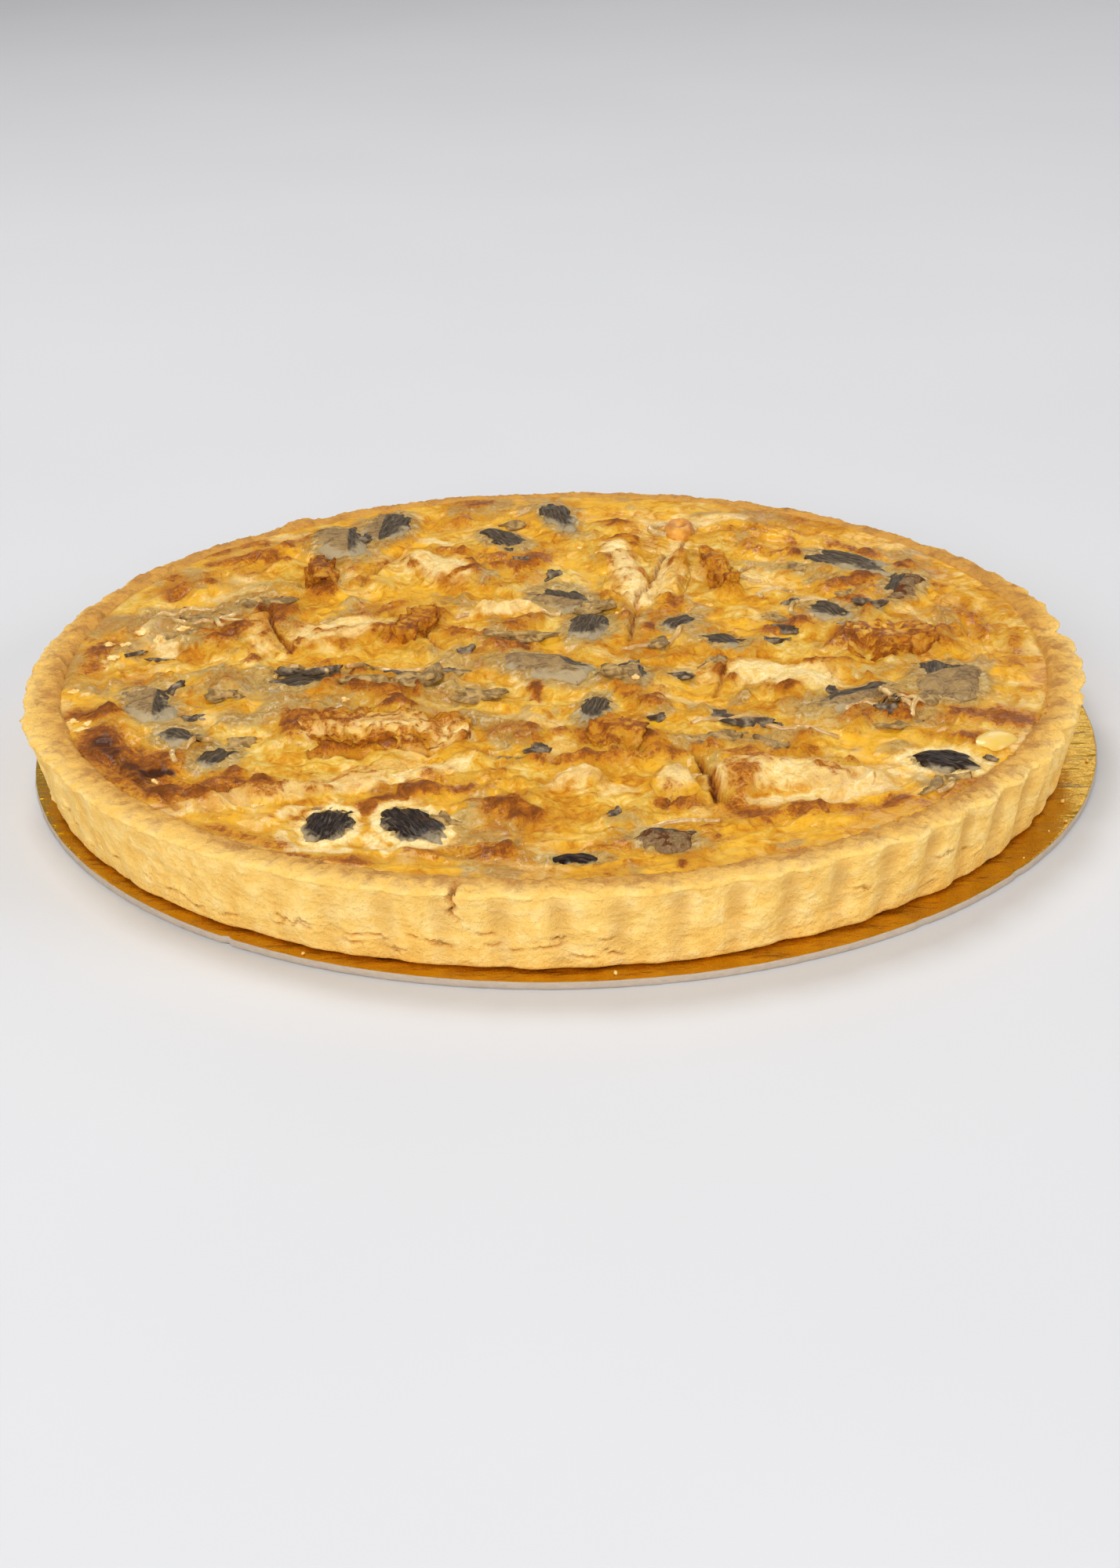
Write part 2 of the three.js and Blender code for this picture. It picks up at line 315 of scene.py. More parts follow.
browning = case_mesh.verts.layers.float.new("rim")
# the scoop layer carries painted shade for the valleys of the scoops
shade = case_mesh.verts.layers.float.new("scoop")
# the flake layer carries painted shade for the cracks and tears
crack_shade = case_mesh.verts.layers.float.new("flake")
for vert in case_mesh.verts:
    x, y, z = vert.co.x / MM, vert.co.y / MM, vert.co.z / MM
    radius, angle = math.hypot(x, y), math.atan2(y, x)
    if radius < 105:
        continue
    degrees = math.degrees(angle)
    outward = Vector((x, y, 0)) / radius
    height_share = clamp((z - card_top - 0.6) / (edge_height - card_top))
    outside = radius > BASE_RADIUS - 3.6 or z > edge_height + 1
    on_rim = clamp((z - edge_height - 0.2) / 0.8)
    place = Vector((x, y, z))
    # the scoops: a narrow valley between broad rounded lobes, each a little different
    uneven = noise.noise(place * 0.03) * 0.35
    phase = math.cos(FLUTES * (angle + math.pi / 2) + uneven)
    scoop = ((1 + phase) / 2) ** 1.35
    reach_in = 1 - clamp((CREST_RADIUS - 0.6 - radius) / 4.2) if z > edge_height else 1
    depth = SCOOP_DEPTH * (0.22 + 0.78 * height_share ** 0.8) * reach_in
    depth *= 0.85 + 0.3 * noise.noise(Vector((math.cos(angle) * 4, math.sin(angle) * 4, 3.1)))
    # the dough was pressed so hard at the front left that the scoops nearly close up there
    pressed = 0.9 * bell(degrees + 137, 34)
    depth *= 1 - pressed
    # at the trimmed edge they last best at the front right
    kept = bell(degrees + 60, 55)
    depth *= 1 - (0.7 - 0.5 * kept) * clamp((z - edge_height + 2.5) / 2.5)
    push = -depth * scoop if outside else 0
    # hand-pressed dough: slow bulges, small dents, and a sandy surface
    push += 1.2 * noise.noise(place * 0.05 + Vector((7, 0, 0))) * (1 if outside else 0)
    push += 0.55 * noise.noise(place * 0.2) + 0.2 * noise.noise(place * 0.8)
    lumpy = 0.6 * noise.noise(place * 0.11 + Vector((0, 9, 0))) + 0.4 * noise.noise(place * 0.3)
    rise = (lumpy + 0.45 * noise.noise(place * 0.85)) * on_rim
    pits = max(0, noise.noise(Vector((x * 0.55, y * 0.55, 4))) - 0.12)
    rise -= 1.6 * pits * on_rim
    # slits where the knife dragged, on the side where the rim was trimmed hardest
    dragged = bell(degrees + 33, 22) + 0.5 * bell(degrees - 20, 20)
    slit = max(0, noise.noise(Vector((degrees * 1.9, radius * 0.32, 5.0))) - 0.12)
    rise -= 2.6 * slit * dragged * on_rim
    # a lifted edge of crumbs along the line where the trimmed top meets the wall
    if abs(z - edge_height - 0.2) < 0.4:
        push += 0.25 + 0.7 * noise.noise(place * 0.6)
    # short flaky cracks across the lower wall
    flake = noise.noise(Vector((degrees * 0.55, 0, z * 1.25 + noise.noise(place * 0.15) * 2.2)))
    split = 0
    if outside and 0.06 < height_share < 0.8:
        push += 0.15 * max(0, min(1, (flake - 0.2) / 0.3))
        for tear_angle, tear_height, half_length, slope in tears.get(int(degrees // 3) % 120, []):
            along = math.radians(degrees - tear_angle) * radius / half_length
            if abs(along) < 1:
                waver = 1.3 * noise.noise(Vector((along * half_length * 0.8, tear_angle, 0)))
                above = z - tear_height - slope * along * half_length - waver
                taper = 1 - along * along
                push += 0.4 * taper * bell(above - 0.8, 0.7)
                split = max(split, taper**0.5 * max(0, 1 - abs(above) / 0.55))
        push -= 0.9 * split
    if outside and z > CRACK_LOW and radius > CREST_RADIUS - 5.5:
        away = math.radians(degrees - CRACK_ANGLE) * radius
        away -= 1.8 * noise.noise(Vector((z * 0.5, radius * 0.3, 2)))
        gape = bell(away, CRACK_WIDTH) * min(1, (z - CRACK_LOW) / 3)
        push -= CRACK_DEPTH * gape * (1 - on_rim)
        rise -= CRACK_DEPTH * gape * on_rim
        split = max(split, gape)
    for fault_angle, half_angle, out, up in rim_faults:
        near = bell((degrees - fault_angle + 180) % 360 - 180, half_angle)
        push += out * near * (0.4 + 0.6 * height_share) if outside else 0
        rise += up * near * on_rim
    if z < card_top + 0.3:
        rise, push = 0, push if outside else 0
    if z > edge_height + 0.2 or radius < INNER_RADIUS + 0.5:
        thinned = clamp((radius - 118) / 8) * clamp((CREST_RADIUS - 0.9 - radius) / 6)
        push += THIN_BACK * far_side(x, y) * thinned
    if radius > INNER_RADIUS - 1:
        rise = max(rise, -2.4) - LOW_BACK * far_side(x, y) * min(1, height_share)
    vert.co = (place + outward * push + Vector((0, 0, max(rise, -3.6)))) * MM
    vert.co.x += middle_x * MM
    vert.co.y += middle_y * MM
    inward = clamp((CREST_RADIUS - 1.5 - radius) / 7.5)
    baked_share = on_rim * (0.42 + 0.58 * inward + 0.6 * far_side(x, y))
    vert[browning] = baked_share if radius > INNER_RADIUS + 0.9 else 1.1
    # painted shade: the valleys of the scoops are darkened in colour, fading where the scoops close up
    valley = max(0, (scoop - 0.45) / 0.55) ** 0.8
    below_edge = clamp((edge_height - 0.6 - z) / 2.5)
    vert[shade] = valley * (1 - pressed) * below_edge * (0.4 + 0.6 * height_share) if outside else 0
    # painted shade: the cracks and tears are coloured darker through the flake layer
    vert[crack_shade] = split
for vert in case_mesh.verts:
    if math.hypot(vert.co.x, vert.co.y) < 104 * MM:
        vert.co.x += middle_x * MM
        vert.co.y += middle_y * MM

crust = Finish("shortcrust", Specular_IOR_Level=0.15)
crust_rim, scoop_shade, crust_crack_shade = (crust.attribute(name) for name in ("rim", "scoop", "flake"))
crust_cloud = crust.grain(32, detail=5, roughness=0.6, warp=0.6)
crust_mottle = crust.grain(190, detail=5, roughness=0.65)
crust_sand = crust.grain(1500, detail=4, roughness=0.7)
crust_pits = crust.grain(560, detail=4, roughness=0.6)
crust_fleck = crust.step(crust_pits, 0.58, 0.72)
baked_rim = crust.layered(
    crust.blend(crust_cloud, "ba8034", "d69d46"),
    (crust.step(crust_mottle, 0.45, 0.65) * 0.7, "a0642a"),
)
crust_colour = crust.layered(
    crust.blend(crust_cloud, "eebb58", "f8d480"),
    (0.6 * crust.step(crust_mottle, 0.45, 0.7), "fbe09c"),
    (crust.step(crust_mottle, 0.52, 0.3) * 0.45, "e5a944"),
    # painted shade in the valleys of the scoops
    (scoop_shade * 0.95, "d2a254"),
    # painted shade: darker orange in the cracks and tears
    (crust_crack_shade * 0.9, "c4741c"),
    (crust.step(crust_rim + (crust_mottle - 0.5) * 1.4, 0.2, 1.0) * 0.9, baked_rim),
    (crust_fleck * 0.2, "b5762e"),
)
crust.drive(Base_Color=crust_colour, Roughness=0.62 + crust_sand * 0.25)
crust.bump((crust_sand, 0.35), (crust_pits, 0.5), (crust_mottle, 0.9))
shown("pastry_case", case_mesh, crust, "pastry_case")

# ---- The custard ----
# Egg and cream poured round the filling and baked until it set, puffed and browned in blotches.
# It is one mass; shreds of aubergine and onion and the curds of cheese mottle it from below.
EDGE_LEVEL = 22.3
CROWN = 1.1
SKIN_CELLS = 312
SOFT_CEILING, HEADROOM = 24.6, 2.4  # bumps flatten off above the one, by no more than the other


def smooth(value):
    value = np.clip(value, 0, 1)
    return value * value * (3 - 2 * value)


def lattice(points):
    """Smooth gradient noise from -1 to 1, one lump to each unit cube."""
    corner = np.floor(points).astype(np.int64)
    inside = points - corner
    ease = inside**3 * (inside * (inside * 6 - 15) + 10)
    total = np.zeros(len(points))
    for i in (0, 1):
        for j in (0, 1):
            for k in (0, 1):
                step = np.array((i, j, k))
                key = (corner + step) @ np.array((73856093, 19349663, 83492791))
                key = (key ^ (key >> 13)) * 1274126177
                lean = [((key >> shift) & 255) / 127.5 - 1 for shift in (7, 16, 25)]
                pull = sum(g * (inside[:, axis] - step[axis]) for axis, g in enumerate(lean))
                share = np.prod(np.where(step, ease, 1 - ease), axis=1)
                total += share * pull
    return np.clip(total * 1.1, -1, 1)


def cloud(points, size, seed=0.0, octaves=3, gain=0.5):
    """Cloudy unevenness from about -1 to 1, its lumps size millimetres across."""
    place = np.asarray(points) / size + seed * np.array((7.31, 3.17, 5.73))
    total, strength = np.zeros(len(place)), 1.0
    for _ in range(octaves):
        total += strength * lattice(place)
        place, strength = place * 2.07 + 11.3, strength * gain
    return total


def folds(points, size, seed=0.0, octaves=3):
    """Creased folds, from 0 in the creases to 1 along the crests."""
    return np.clip(1 - np.abs(cloud(points, size, seed, octaves)) * 2.4, 0, 1)


def domes(points, size, seed=0.0, share=0.5):
    """Rounded swellings about size apart, the given share of the places taken: 0 between them, 1 on top."""
    where = points[:, :2] / size + seed * 3.7
    home = np.floor(where)
    tallest = np.zeros(len(points))
    for right in (-1, 0, 1):
        for up in (-1, 0, 1):
            cell = home + (right, up)
            draw = [np.abs(np.modf(np.sin(cell @ (12.99, 78.23) + k) * 43758.5)[0]) for k in (0, 1.7, 3.1)]
            gap = np.hypot(where[:, 0] - cell[:, 0] - draw[0], where[:, 1] - cell[:, 1] - draw[1])
            taken = np.clip((draw[2] - 1 + share) / share, 0, 1)
            tallest = np.maximum(tallest, taken**0.5 * np.clip(1 - (gap / (0.4 + 0.4 * taken)) ** 2, 0, 1))
    return tallest


class Bake:
    """Where each thing that happened to the surface in the oven lies, at a set of points."""

    def __init__(self, x, y, loose=1.6):
        self.x, self.y = np.asarray(x), np.asarray(y)
        flat = np.column_stack([self.x, self.y, np.zeros_like(self.x)])
        self.flat = flat
        drift_x = cloud(flat, 9.0, 1.0) * loose + cloud(flat, 3.0, 2.0, 2) * 0.5 * loose
        drift_y = cloud(flat, 9.0, 3.0) * loose + cloud(flat, 3.0, 4.0, 2) * 0.5 * loose
        self.warped_x, self.warped_y = self.x + drift_x, self.y + drift_y

    def stroke(self, path, width, soft=0.6):
        """1 along a path of points, falling to 0 at half its width. soft is the share that fades."""
        nearest = np.full_like(self.x, 1e9)
        ends = list(zip(path, path[1:])) or [(path[0], path[0])]
        for (ax, ay), (bx, by) in ends:
            length = max(1e-6, (bx - ax) ** 2 + (by - ay) ** 2)
            along = ((self.warped_x - ax) * (bx - ax) + (self.warped_y - ay) * (by - ay)) / length
            along = np.clip(along, 0, 1)
            gap = np.hypot(self.warped_x - ax - along * (bx - ax), self.warped_y - ay - along * (by - ay))
            nearest = np.minimum(nearest, gap)
        return smooth((1 - nearest / (width / 2)) / soft)

    def gather(self, strokes, soft=0.6, spread=1.0):
        total = np.zeros_like(self.x)
        for strength, width, *spots in strokes:
            path = list(zip(spots[::2], spots[1::2]))
            total = np.maximum(total, strength * self.stroke(path, width * spread, soft))
        return total


# strength, width, then x and y of each point the stroke runs through, in millimetres from the middle
brown_strokes = [
    (1.0, 13, -121, -32, -114, -34), (1.0, 26, -111, -52, -98, -70), (0.9, 16, -96, -74, -84, -82),
    (0.9, 15, -84, -78, -70, -79), (0.75, 10, -109, 66, -107, 50), (0.85, 13, -98, 76, -82, 80),
    (0.7, 8, -124, 12, -122, 4), (1.0, 13, 41, -93, 47, -99), (0.8, 8, 62, -79, 69, -81), (0.55, 6, 48, -73, 74, -74),
    (0.6, 12, 57, -97, 66, -96), (0.7, 9, 74, -95, 80, -91), (1.0, 16, 101, -44, 113, -49),
    (0.7, 8, 117, -28, 121, -28), (0.75, 10, 113, 32, 115, 8), (0.8, 6, 71, 88, 71, 81), (0.8, 9, 16, 104, 22, 102),
    (0.95, 12, -45, -90, -35, -88), (0.85, 8, -36, -84, -20, -82), (0.8, 9, -80, -98, -62, -108),
    (0.9, 7, -5, -22, -5, -29), (0.8, 12, 26, -92, 34, -93), (0.9, 16, -64, -44, -50, -47),
    (0.95, 12, -41, 11, -33, 28), (1.0, 11, -67, 70, -65, 51), (0.8, 15, 10, -53, 19, -56), (0.8, 11, 46, 46, 47, 66),
    (0.7, 9, 55, 82, 64, 73), (1.0, 12, -13, -93, -6, -98), (0.6, 7, -25, -91, -19, -89), (0.7, 8, -4, -69, 24, -67),
    (0.85, 22, 80, 4, 98, 3), (0.7, 9, 28, -66, 38, -62), (0.8, 3.2, -60, -59, -48, -57, -32, -57),
    (0.75, 3.2, -31, 54, -24, 58, -19, 63), (0.75, 7, -62, 14, -55, 16), (0.8, 4, -81, 36, -75, 18, -70, 4),
    (0.6, 8, 60, -85, 66, -84), (0.65, 6, 36, -64, 56, -67, 76, -72), (1.0, 3.4, 35, -68, 37, -78, 37, -89),
    (0.7, 9, 33, 34, 26, 14), (0.6, 18, -8, 60, -4, 82), (0.6, 14, -30, 84, -14, 72), (0.6, 14, 58, 14, 68, 18),
    (0.7, 12, -30, -112, -12, -116), (0.6, 12, 8, -113, 34, -116), (0.7, 8, -60, -114, -42, -118),
    (0.55, 14, -14, 112, -36, 106), (0.65, 12, 50, 96, 66, 100), (0.7, 10, 84, 80, 92, 70),
    (0.6, 12, -122, -8, -120, 20), (0.7, 9, 120, -12, 123, 8), (0.65, 10, 86, -94, 98, -80),
    (0.55, 14, -48, 34, -38, 46), (0.6, 16, -20, 2, -8, 6), (0.5, 16, 22, -4, 34, 2), (0.6, 10, -104, -92, -92, -100),
    (0.5, 12, -50, 76, -58, 72), (0.55, 10, 76, 44, 84, 46),
]
char_strokes = [
    (1.0, 6, -99, -67, -93, -68), (0.7, 11, -112, -50, -104, -63, -97, -73), (0.5, 8, -120, -31, -117, -32),
    (0.45, 9, -67, 68, -65, 54), (0.5, 6, 35.5, -72, 37.5, -86), (0.35, 9, 43, -96, 44, -100),
    (0.3, 8, 104, -46, 110, -48), (0.45, 5, -40, 14, -35, 26), (0.35, 8, -60, -45, -54, -46),
]
cream_strokes = [
    (1.0, 9, 42, -92, 60, -91, 78, -85), (0.9, 22, 42, -79, 72, -82), (0.7, 14, -94, -92, -80, -84, -60, -81),
    (0.8, 11, -58, -81, -38, -77, -24, -70), (0.8, 15, -58, -50, -28, -50), (1.0, 8, -28, -56, -22, -54),
    (0.85, 24, -64, 16, -50, 20), (0.9, 18, -38, 72, -27, 58), (0.95, 13, 18, 80, 24, 36),
    (0.75, 10, 38, 88, 32, 64, 28, 40), (0.95, 24, 52, -18, 66, -24), (0.9, 12, -110, 27, -103, 8),
    (0.7, 12, 1, -80, 9, -78), (0.6, 10, 12, -83, 17, -83), (0.65, 10, -24, 30, -4, 31),
    (1.0, 5, -63, -103, -60, -110, -48, -112), (0.9, 5, -43, -104, -38, -111, -26, -110),
    (0.9, 5, -64, -96, -60, -90), (0.8, 5, 80, -76, 90, -80, 100, -76), (0.6, 12, -82, 26, -77, 6),
    (0.75, 12, 30, 104, 56, 108), (0.7, 9, -84, 98, -74, 100), (0.6, 10, -24, 98, -8, 94),
    (0.55, 13, 86, 34, 100, 26), (0.7, 5, -24, -116, -4, -122), (0.5, 10, 100, -92, 92, -98),
    (0.6, 9, -126, -24, -124, -40), (0.7, 10, 118, -50, 112, -66), (0.6, 12, -12, -40, 0, -44),
    (0.5, 10, 28, -30, 40, -36), (0.7, 9, -40, 96, -30, 90), (0.6, 9, -96, 50, -84, 56), (0.55, 10, 56, 62, 62, 50),
]
mush_strokes = [
    (0.8, 26, -104, 24, -84, 46), (0.85, 18, 62, -40, 92, -46), (0.75, 14, 32, -58, 58, -56),
    (0.6, 10, 14, -108, 34, -112), (0.7, 14, -88, -56, -80, -64), (0.6, 8, 12, -98, 18, -102),
    (0.85, 16, -74, -12, -50, -20, -22, -24), (0.8, 12, -20, -6, 8, -20), (0.7, 12, -100, -22, -92, -40),
    (0.75, 14, 68, 32, 84, 24), (0.7, 12, 36, 12, 52, 2), (0.7, 12, 30, 24, 40, 16), (0.7, 12, -4, 34, 8, 44),
    (0.7, 10, -70, 84, -50, 92), (0.7, 12, 60, 66, 76, 58), (0.7, 10, 36, -36, 50, -50), (0.6, 10, 86, -80, 98, -84),
    (0.65, 12, -26, -14, -14, 0), (0.5, 16, -60, -30, -30, -34), (0.6, 12, 16, -20, 34, -16),
    (0.55, 12, 80, -20, 92, -12), (0.6, 10, 0, 100, 10, 92), (0.5, 14, -96, 62, -74, 52), (0.55, 14, 6, 8, 16, 14),
]
yolk_strokes = [
    (1.0, 13, -82, -92, -62, -94), (0.9, 15, 24, -83, 31, -87), (0.8, 14, -104, -6, -84, -4),
    (0.8, 12, 66, -98, 86, -88), (0.7, 16, 100, -10, 114, -4), (0.8, 14, -30, -100, -14, -106),
    (0.7, 16, -60, -4, -84, -30), (0.8, 10, -36, 44, -18, 46), (0.7, 14, 70, -56, 88, -60),
    (0.7, 18, 30, 112, -20, 118), (0.7, 14, 60, 30, 50, 36), (0.8, 16, -96, 92, -78, 104),
    (0.7, 12, -14, -60, -6, -48), (0.7, 12, 30, -72, 22, -70), (0.6, 14, 76, 92, 94, 78),
]
ridge_strokes = [
    (2.2, 20, 42, -79, 72, -82), (1.3, 10, -92, -91, -80, -84, -60, -81, -40, -77, -20, -68),
    (2.0, 18, -60, -49, -26, -50), (1.6, 26, -63, 15, -51, 19), (2.0, 20, -37, 72, -27, 60),
    (1.4, 13, 18, 80, 24, 36), (1.4, 9, 38, 72, 30, 34), (2.2, 26, 52, -16, 64, -24), (2.3, 20, 80, 5, 98, 2),
    (1.9, 16, 12, -53, 18, -58), (2.4, 10, -41, 11, -33, 28), (2.2, 9, -68, 69, -64, 52), (1.4, 12, 2, -80, 8, -78),
    (1.6, 15, 25, -82, 31, -87), (1.2, 8, -24, 30, -4, 31), (1.6, 9, 45, 68, 50, 44), (2.0, 16, -62, -44, -52, -48),
    (1.5, 11, -13, -92, -6, -99), (1.2, 9, -4, -69, 24, -67), (0.9, 2.4, -60, -59, -48, -57, -32, -57),
    (1.2, 14, 12, -20, 22, -26), (1.3, 15, 60, 80, 68, 72), (1.1, 12, -81, 26, -77, 6), (1.5, 16, -96, 80, -82, 84),
    (1.3, 14, 100, -46, 112, -50), (1.1, 12, -116, -30, -104, -42), (1.0, 3.0, -31, 54, -24, 58, -19, 63),
    (1.4, 15, 70, -17, 80, -16), (1.2, 13, -82, -78, -70, -80),
]
crease_strokes = [
    (2.2, 3.2, 35, -67, 37, -78, 38, -90), (1.3, 2.4, 40, 90, 33, 75, 27, 50, 23, 35, 21, 10),
    (1.4, 3.0, -116, -54, -100, -72, -88, -89), (1.2, 2.4, -80, 34, -75, 18, -70, 4), (1.1, 2.4, 46, -8, 41, -27),
    (1.2, 3.0, -94, -88, -76, -80, -56, -76), (1.1, 2.6, -60, -60, -30, -59), (1.0, 2.6, -18, -62, 0, -70),
    (1.0, 2.4, -44, 32, -30, 6), (1.0, 2.6, 60, -66, 84, -70), (0.9, 2.4, -54, 56, -44, 84),
]


def baked(x, y):
    """What the oven did at each point: its shares from 0 to 1, and the height in millimetres. The fold share is no
    bake but painted shade, darkening the hollows between folds, the valleys by the rim and the creases.
    """
    bake = Bake(x, y)
    radius = np.hypot(bake.x, bake.y)
    broad = cloud(bake.flat, 26.0, 6.0, 3)
    middling = cloud(bake.flat, 8.0, 9.0, 3, 0.6)
    pimples = cloud(bake.flat, 2.4, 5.0, 3, 0.6)
    # folds run mostly across, as the strands of the filling lie
    lying = np.column_stack([bake.warped_x * 0.7, bake.warped_y, bake.flat[:, 2]])
    big_folds = folds(lying, 13.0, 7.0, 2)
    small_folds = folds(lying, 5.0, 8.0, 2)
    # next to the rim they run along it, long and smooth
    round_rim = np.column_stack([np.arctan2(bake.warped_y, bake.warped_x) * 26, radius, radius * 0])
    rim_folds = folds(round_rim, 5.5, 24.0, 2)
    warped = np.column_stack([bake.warped_x, bake.warped_y])
    blisters = domes(warped, 11.0, 1.0, 0.5)
    beads = domes(warped, 4.4, 2.0, 0.6)
    brown = bake.gather(brown_strokes, 1.0, 1.45)
    placed = brown  # the stray aubergine of the custard keeps clear of these marks
    brown = np.maximum(brown, 0.55 * smooth((broad + 0.4 * middling - 0.1) * 3.0))
    char = bake.gather(char_strokes, 0.9)
    cream = bake.gather(cream_strokes, 0.7)
    placed = np.maximum(placed, cream)
    cream = np.maximum(cream, 0.5 * smooth((cloud(bake.flat, 17.0, 12.0, 3) - 0.12) * 3.4))
    mush = bake.gather(mush_strokes, 1.0, 1.4)
    stray = smooth((cloud(bake.flat, 30.0, 16.0, 4, 0.6) - 0.02) * 3.2)
    mush = np.maximum(mush, 0.75 * (1 - 0.75 * placed) * stray)
    yolk = bake.gather(yolk_strokes, 1.0)
    yolk = np.maximum(yolk, 0.9 * smooth((cloud(bake.flat, 21.0, 13.0, 3) - 0.1) * 3.4))
    ridge = bake.gather(ridge_strokes, 0.85)
    crease = bake.gather(crease_strokes, 1.0)
    # the shoulders of whatever stands up took colour first
    shoulder = np.clip(ridge / 1.7, 0, 1)
    brown = np.maximum(brown, 2.4 * shoulder * (1 - shoulder) * smooth(0.55 + 1.6 * middling))
    rim_band = smooth((radius - 98) / 14.0)
    yolk = np.maximum(yolk, 0.8 * rim_band * smooth(0.6 + 1.4 * cloud(bake.flat, 12.0, 17.0, 2)))
    rough = np.clip(0.42 + 0.6 * brown + 0.6 * mush - 0.4 * yolk - 0.45 * cream - 0.3 * rim_band, 0.1, 1.2)
    edge = smooth((127.0 - radius) / 12.0)
    height = EDGE_LEVEL + CROWN * (1 - np.clip(radius / 128.0, 0, 1) ** 4)
    relief = 1.4 * broad + 1.25 * ridge + 1.9 * big_folds * rough + 0.8 * small_folds * rough
    relief += 1.9 * blisters + 0.8 * beads * rough + 1.8 * middling * (0.25 + rough) + 0.45 * pimples * rough
    relief += -2.0 * crease - 1.4
    relief += 1.5 * rim_band * (rim_folds - 0.4)
    height = height + relief * (0.2 + 0.8 * edge)
    above = (height - SOFT_CEILING) / HEADROOM
    height = np.where(above > 0, SOFT_CEILING + HEADROOM * np.tanh(above), height)
    # painted shade: the hollows between folds and blisters, darkened through the fold share
    hollow_shade = 0.8 * (1 - big_folds) * (1 - small_folds) * (1 - blisters) * rough
    shares = {
        "brown": np.clip(brown + 0.5 * blisters * (1 - 0.6 * cream) + 0.25 * beads * rough - 0.12, 0, 1),
        "char": char, "cream": cream, "mush": mush, "yolk": yolk,
        # fold: painted shade in the hollows, in the valleys between the folds by the rim, and in the creases
        "fold": np.clip(hollow_shade + 0.4 * rim_band * (1 - rim_folds) + crease, 0, 1),
        "crest": np.clip(0.5 * big_folds * small_folds + 0.5 * beads + 0.8 * middling, 0, 1) * rough,
    }
    return shares, height


skin_mesh = bmesh.new()
bmesh.ops.create_grid(skin_mesh, x_segments=SKIN_CELLS, y_segments=SKIN_CELLS, size=1)
skin_mesh.verts.ensure_lookup_table()
EDGE_TUCK = 1.6  # how far the custard runs in behind the rim's lip
for vert in skin_mesh.verts:
    u, v = vert.co.x, vert.co.y
    across, away = u * math.sqrt(1 - v * v / 2), v * math.sqrt(1 - u * u / 2)
    vert.co = Vector((across, away, 0)) * (INNER_RADIUS + EDGE_TUCK + THIN_BACK * far_side(100 * across, 100 * away))
skin_x = np.array([vert.co.x for vert in skin_mesh.verts])
skin_y = np.array([vert.co.y for vert in skin_mesh.verts])
marks, skin_height = baked(skin_x, skin_y)


class Lump:
    """A CAD piece's own axes: where its middle is, which way it lies, and its half sizes in millimetres."""

    def __init__(self, node):
        corners = np.array([v.co[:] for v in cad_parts[node].data.vertices]) / MM
        corners[:, 0] -= middle_x
        corners[:, 1] -= middle_y
        self.centre = (corners.max(0) + corners.min(0)) / 2
        spread = np.unique(np.round(corners, 3), axis=0) - self.centre
        turn = np.linalg.eigh(spread[:, :2].T @ spread[:, :2])[1][:, ::-1].T
        if turn[0] @ (1, 0.3) < 0:
            turn[0] *= -1
        turn[1] = (-turn[0][1], turn[0][0])
        self.along, self.across = turn
        self.half_length = np.abs(spread[:, :2] @ self.along).max()
        self.half_width = np.abs(spread[:, :2] @ self.across).max()
        self.top = corners[:, 2].max()

    def share(self, x, y, grow=0.0):
        """1 at the rim of the piece's outline, 0 at its middle, more than 1 outside it."""
        dx, dy = np.asarray(x) - self.centre[0], np.asarray(y) - self.centre[1]
        u = (dx * self.along[0] + dy * self.along[1]) / (self.half_length + grow)
        v = (dx * self.across[0] + dy * self.across[1]) / (self.half_width + grow)
        return np.hypot(u, v)


def at_least(marks, name, share):
    marks[name] = np.maximum(marks[name], share)


lumps = {name: Lump(name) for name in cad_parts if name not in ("gold_card", "pastry_case", "custard")}
flat_skin = np.column_stack([skin_x, skin_y, skin_x * 0])
ragged_x = skin_x + 1.8 * cloud(flat_skin, 4.0, 21.0, 3, 0.6)
ragged_y = skin_y + 1.8 * cloud(flat_skin, 4.0, 22.0, 3, 0.6)
lapping = cloud(flat_skin, 5.0, 23.0, 3, 0.6)
for name, lump in lumps.items():
    reach = lump.share(ragged_x, ragged_y)
    if name.startswith("aubergine"):
        # the custard set about level with each piece, lapping over it here and there
        near = smooth((2.0 - reach) / 0.8)
        calm = lump.top - (1.3 if "skin" in name else 0.9) + 1.5 * lapping - 0.5 * np.clip(reach - 1, 0, 1)
        skin_height = skin_height * (1 - 0.8 * near) + calm * 0.8 * near
        skin_height -= 1.8 * smooth(((0.95 if "skin" in name else 0.8) - reach) / 0.3)
        band = np.exp(-(((reach - 1.2) / 0.36) ** 2))
        if "skin_front" in name or "skin_right" in name:
            at_least(marks, "cream", np.clip(band * (1.1 + 0.9 * lapping), 0, 1))
            marks["mush"] *= 1 - band
            at_least(marks, "mush", 0.9 * smooth((1.15 - reach) / 0.15))
        else:
            at_least(marks, "mush", 0.9 * near)
            marks["cream"] *= 1 - 0.5 * near
        marks["brown"] *= 1 - 0.8 * smooth((1.6 - reach) / 0.4)
        marks["yolk"] *= 1 - near
        marks["fold"] *= 1 - near
    else:
        skin_height -= 1.3 * smooth((0.8 - reach) / 0.4)
for name, share in marks.items():
    layer = skin_mesh.verts.layers.float.new(name)
    for vert, value in zip(skin_mesh.verts, share):
        vert[layer] = float(value)
for vert, height in zip(skin_mesh.verts, skin_height):
    radius = math.hypot(vert.co.x, vert.co.y)
    tuck = max(0.0, radius - INNER_RADIUS - THIN_BACK * far_side(vert.co.x, vert.co.y)) * 0.5
    vert.co = Vector((vert.co.x + middle_x, vert.co.y + middle_y, height - tuck)) * MM
